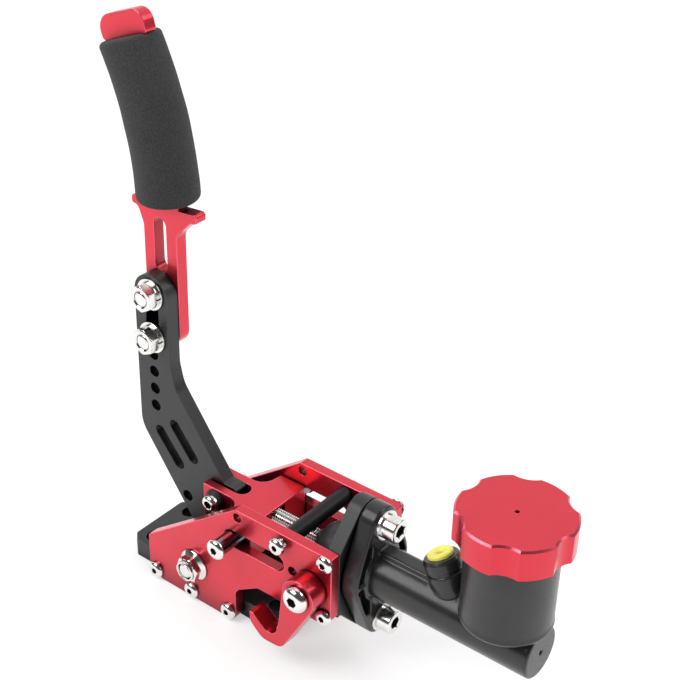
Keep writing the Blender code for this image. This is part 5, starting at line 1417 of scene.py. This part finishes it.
def make_stage():
    """Camera at the photograph's viewing angle, soft lamps, white room and pale floor."""
    settings = bpy.context.scene.lever_stage
    bpy.context.scene.view_settings.view_transform = "Standard"
    turn, drop, roll = settings.camera_turn, settings.camera_drop, settings.camera_roll
    side = Vector((cos(turn), sin(turn), 0))
    back = Vector((sin(turn) * cos(drop), -cos(turn) * cos(drop), sin(drop)))
    above = back.cross(side)
    right = side * cos(roll) + above * sin(roll)
    up = above * cos(roll) - side * sin(roll)
    data = bpy.data.cameras.new("camera")
    data.sensor_width = 36.0
    data.lens = settings.lens
    camera = add_object("camera", data)
    camera.matrix_world = Matrix.Translation(settings.camera_place) @ Matrix(
        (right, up, back)).transposed().to_4x4()
    bpy.context.scene.camera = camera
    half = settings.floor_size / 2
    mesh = bpy.data.meshes.new("floor")
    mesh.from_pydata([(-half, -half, 0), (half, -half, 0), (half, half, 0), (-half, half, 0)], [],
                     [(0, 1, 2, 3)])
    mesh.materials.append(pale_floor())
    ground = add_object("floor", mesh)
    ground.location = (0, 0, -0.0003)
    room_light(settings.world_light)
    middle = (0.05, 0, 0.10)
    add_lamp("key lamp", (-0.55, -0.85, 1.15), middle, 0.9, settings.key_power)
    add_lamp("fill lamp", (0.75, 0.55, 0.95), middle, 0.7, settings.fill_power)


# Operators, one for each piece or group of like pieces


class LEVER_OT_stage(bpy.types.Operator):
    """Set up the camera, lamps, room and floor."""

    bl_idname = "lever.stage"
    bl_label = "Stage"

    def execute(self, context):
        make_stage()
        return {"FINISHED"}


class LEVER_OT_side_plates(bpy.types.Operator):
    """Make the two red side plates."""

    bl_idname = "lever.side_plates"
    bl_label = "Side plates"

    def execute(self, context):
        make_side_plates()
        return {"FINISHED"}


class LEVER_OT_base(bpy.types.Operator):
    """Make the black base plate."""

    bl_idname = "lever.base"
    bl_label = "Base plate"

    def execute(self, context):
        make_base()
        return {"FINISHED"}


class LEVER_OT_bracket(bpy.types.Operator):
    """Make the black bracket and the spacer rod."""

    bl_idname = "lever.bracket"
    bl_label = "Bracket and spacer rod"

    def execute(self, context):
        make_bracket()
        make_cross_rod()
        return {"FINISHED"}


class LEVER_OT_plate_screws(bpy.types.Operator):
    """Make the button-head screws in the side plates."""

    bl_idname = "lever.plate_screws"
    bl_label = "Plate screws"

    def execute(self, context):
        make_plate_screws()
        return {"FINISHED"}


class LEVER_OT_pivot(bpy.types.Operator):
    """Make the lever's main pivot bolt, nut, bush and spacers."""

    bl_idname = "lever.pivot"
    bl_label = "Main pivot"

    def execute(self, context):
        make_pivot()
        return {"FINISHED"}


class LEVER_OT_arm(bpy.types.Operator):
    """Make the black lever arm."""

    bl_idname = "lever.arm"
    bl_label = "Lever arm"

    def execute(self, context):
        make_arm()
        return {"FINISHED"}


class LEVER_OT_handle(bpy.types.Operator):
    """Make the red handle plate."""

    bl_idname = "lever.handle"
    bl_label = "Handle plate"

    def execute(self, context):
        make_handle()
        return {"FINISHED"}


class LEVER_OT_grip(bpy.types.Operator):
    """Make the foam grip."""

    bl_idname = "lever.grip"
    bl_label = "Foam grip"

    def execute(self, context):
        make_grip()
        return {"FINISHED"}


class LEVER_OT_handle_fasteners(bpy.types.Operator):
    """Make the bolts, washers and nuts that clamp the handle."""

    bl_idname = "lever.handle_fasteners"
    bl_label = "Handle fasteners"

    def execute(self, context):
        make_handle_fasteners()
        return {"FINISHED"}


class LEVER_OT_fork(bpy.types.Operator):
    """Make the red fork, its pin, bushes and nut."""

    bl_idname = "lever.fork"
    bl_label = "Link fork"

    def execute(self, context):
        make_fork()
        make_fork_pin()
        return {"FINISHED"}


class LEVER_OT_slider(bpy.types.Operator):
    """Make the slider pin, its screws and the threaded pushrod."""

    bl_idname = "lever.slider"
    bl_label = "Slider pin and pushrod"

    def execute(self, context):
        make_slider()
        make_pushrod()
        return {"FINISHED"}


class LEVER_OT_boot(bpy.types.Operator):
    """Make the rubber dust boot and finish the pieces inside the cylinder."""

    bl_idname = "lever.boot"
    bl_label = "Boot and inner pieces"

    def execute(self, context):
        make_boot()
        paint_inner_pieces()
        return {"FINISHED"}


class LEVER_OT_cylinder(bpy.types.Operator):
    """Make the cast master cylinder with its reservoir."""

    bl_idname = "lever.cylinder"
    bl_label = "Master cylinder"

    def execute(self, context):
        make_cylinder()
        return {"FINISHED"}


class LEVER_OT_flange_bolts(bpy.types.Operator):
    """Make the two socket cap screws and their washers."""

    bl_idname = "lever.flange_bolts"
    bl_label = "Flange screws"

    def execute(self, context):
        make_flange_bolts()
        return {"FINISHED"}


class LEVER_OT_plug(bpy.types.Operator):
    """Make the yellow shipping plug."""

    bl_idname = "lever.plug"
    bl_label = "Shipping plug"

    def execute(self, context):
        make_plug()
        return {"FINISHED"}


class LEVER_OT_cap(bpy.types.Operator):
    """Make the red reservoir cap."""

    bl_idname = "lever.cap"
    bl_label = "Reservoir cap"

    def execute(self, context):
        make_cap()
        return {"FINISHED"}


class LEVER_OT_latch(bpy.types.Operator):
    """Make the red latch hook and its screw."""

    bl_idname = "lever.latch"
    bl_label = "Latch hook"

    def execute(self, context):
        make_latch()
        return {"FINISHED"}


OPERATORS = (LEVER_OT_stage, LEVER_OT_side_plates, LEVER_OT_base, LEVER_OT_bracket,
             LEVER_OT_plate_screws, LEVER_OT_pivot, LEVER_OT_arm, LEVER_OT_handle, LEVER_OT_grip,
             LEVER_OT_handle_fasteners, LEVER_OT_fork, LEVER_OT_slider, LEVER_OT_boot,
             LEVER_OT_cylinder, LEVER_OT_flange_bolts, LEVER_OT_plug, LEVER_OT_cap,
             LEVER_OT_latch)


class LEVER_PT_pieces(bpy.types.Panel):
    """Lists the lever's settings and the operators that build it."""

    bl_idname = "LEVER_PT_pieces"
    bl_label = "Brake Lever"
    bl_space_type = "VIEW_3D"
    bl_region_type = "UI"
    bl_category = "Brake Lever"

    def draw(self, context):
        scene = context.scene
        for heading, group in (("Finish", scene.lever_finish), ("Sizes", scene.lever_sizes),
                               ("Stage", scene.lever_stage)):
            box = self.layout.box()
            box.label(text=heading)
            for key in group.__annotations__:
                box.prop(group, key)
        column = self.layout.column(align=True)
        for operator in OPERATORS:
            column.operator(operator.bl_idname)


GROUPS = (("lever_finish", LeverFinish), ("lever_sizes", LeverSizes), ("lever_stage", LeverStage))


def register():
    """Add the properties, operators and panel to Blender."""
    for name, group in GROUPS:
        bpy.utils.register_class(group)
        setattr(bpy.types.Scene, name, bpy.props.PointerProperty(type=group))
    for operator in OPERATORS:
        bpy.utils.register_class(operator)
    bpy.utils.register_class(LEVER_PT_pieces)


def unregister():
    """Take the properties, operators and panel out of Blender again."""
    bpy.utils.unregister_class(LEVER_PT_pieces)
    for operator in reversed(OPERATORS):
        bpy.utils.unregister_class(operator)
    for name, group in reversed(GROUPS):
        delattr(bpy.types.Scene, name)
        bpy.utils.unregister_class(group)


def main():
    """Build the whole lever and its stage."""
    register()
    for operator in OPERATORS:
        name = operator.bl_idname.split(".")[1]
        getattr(bpy.ops.lever, name)()


if __name__ == "__main__":
    main()
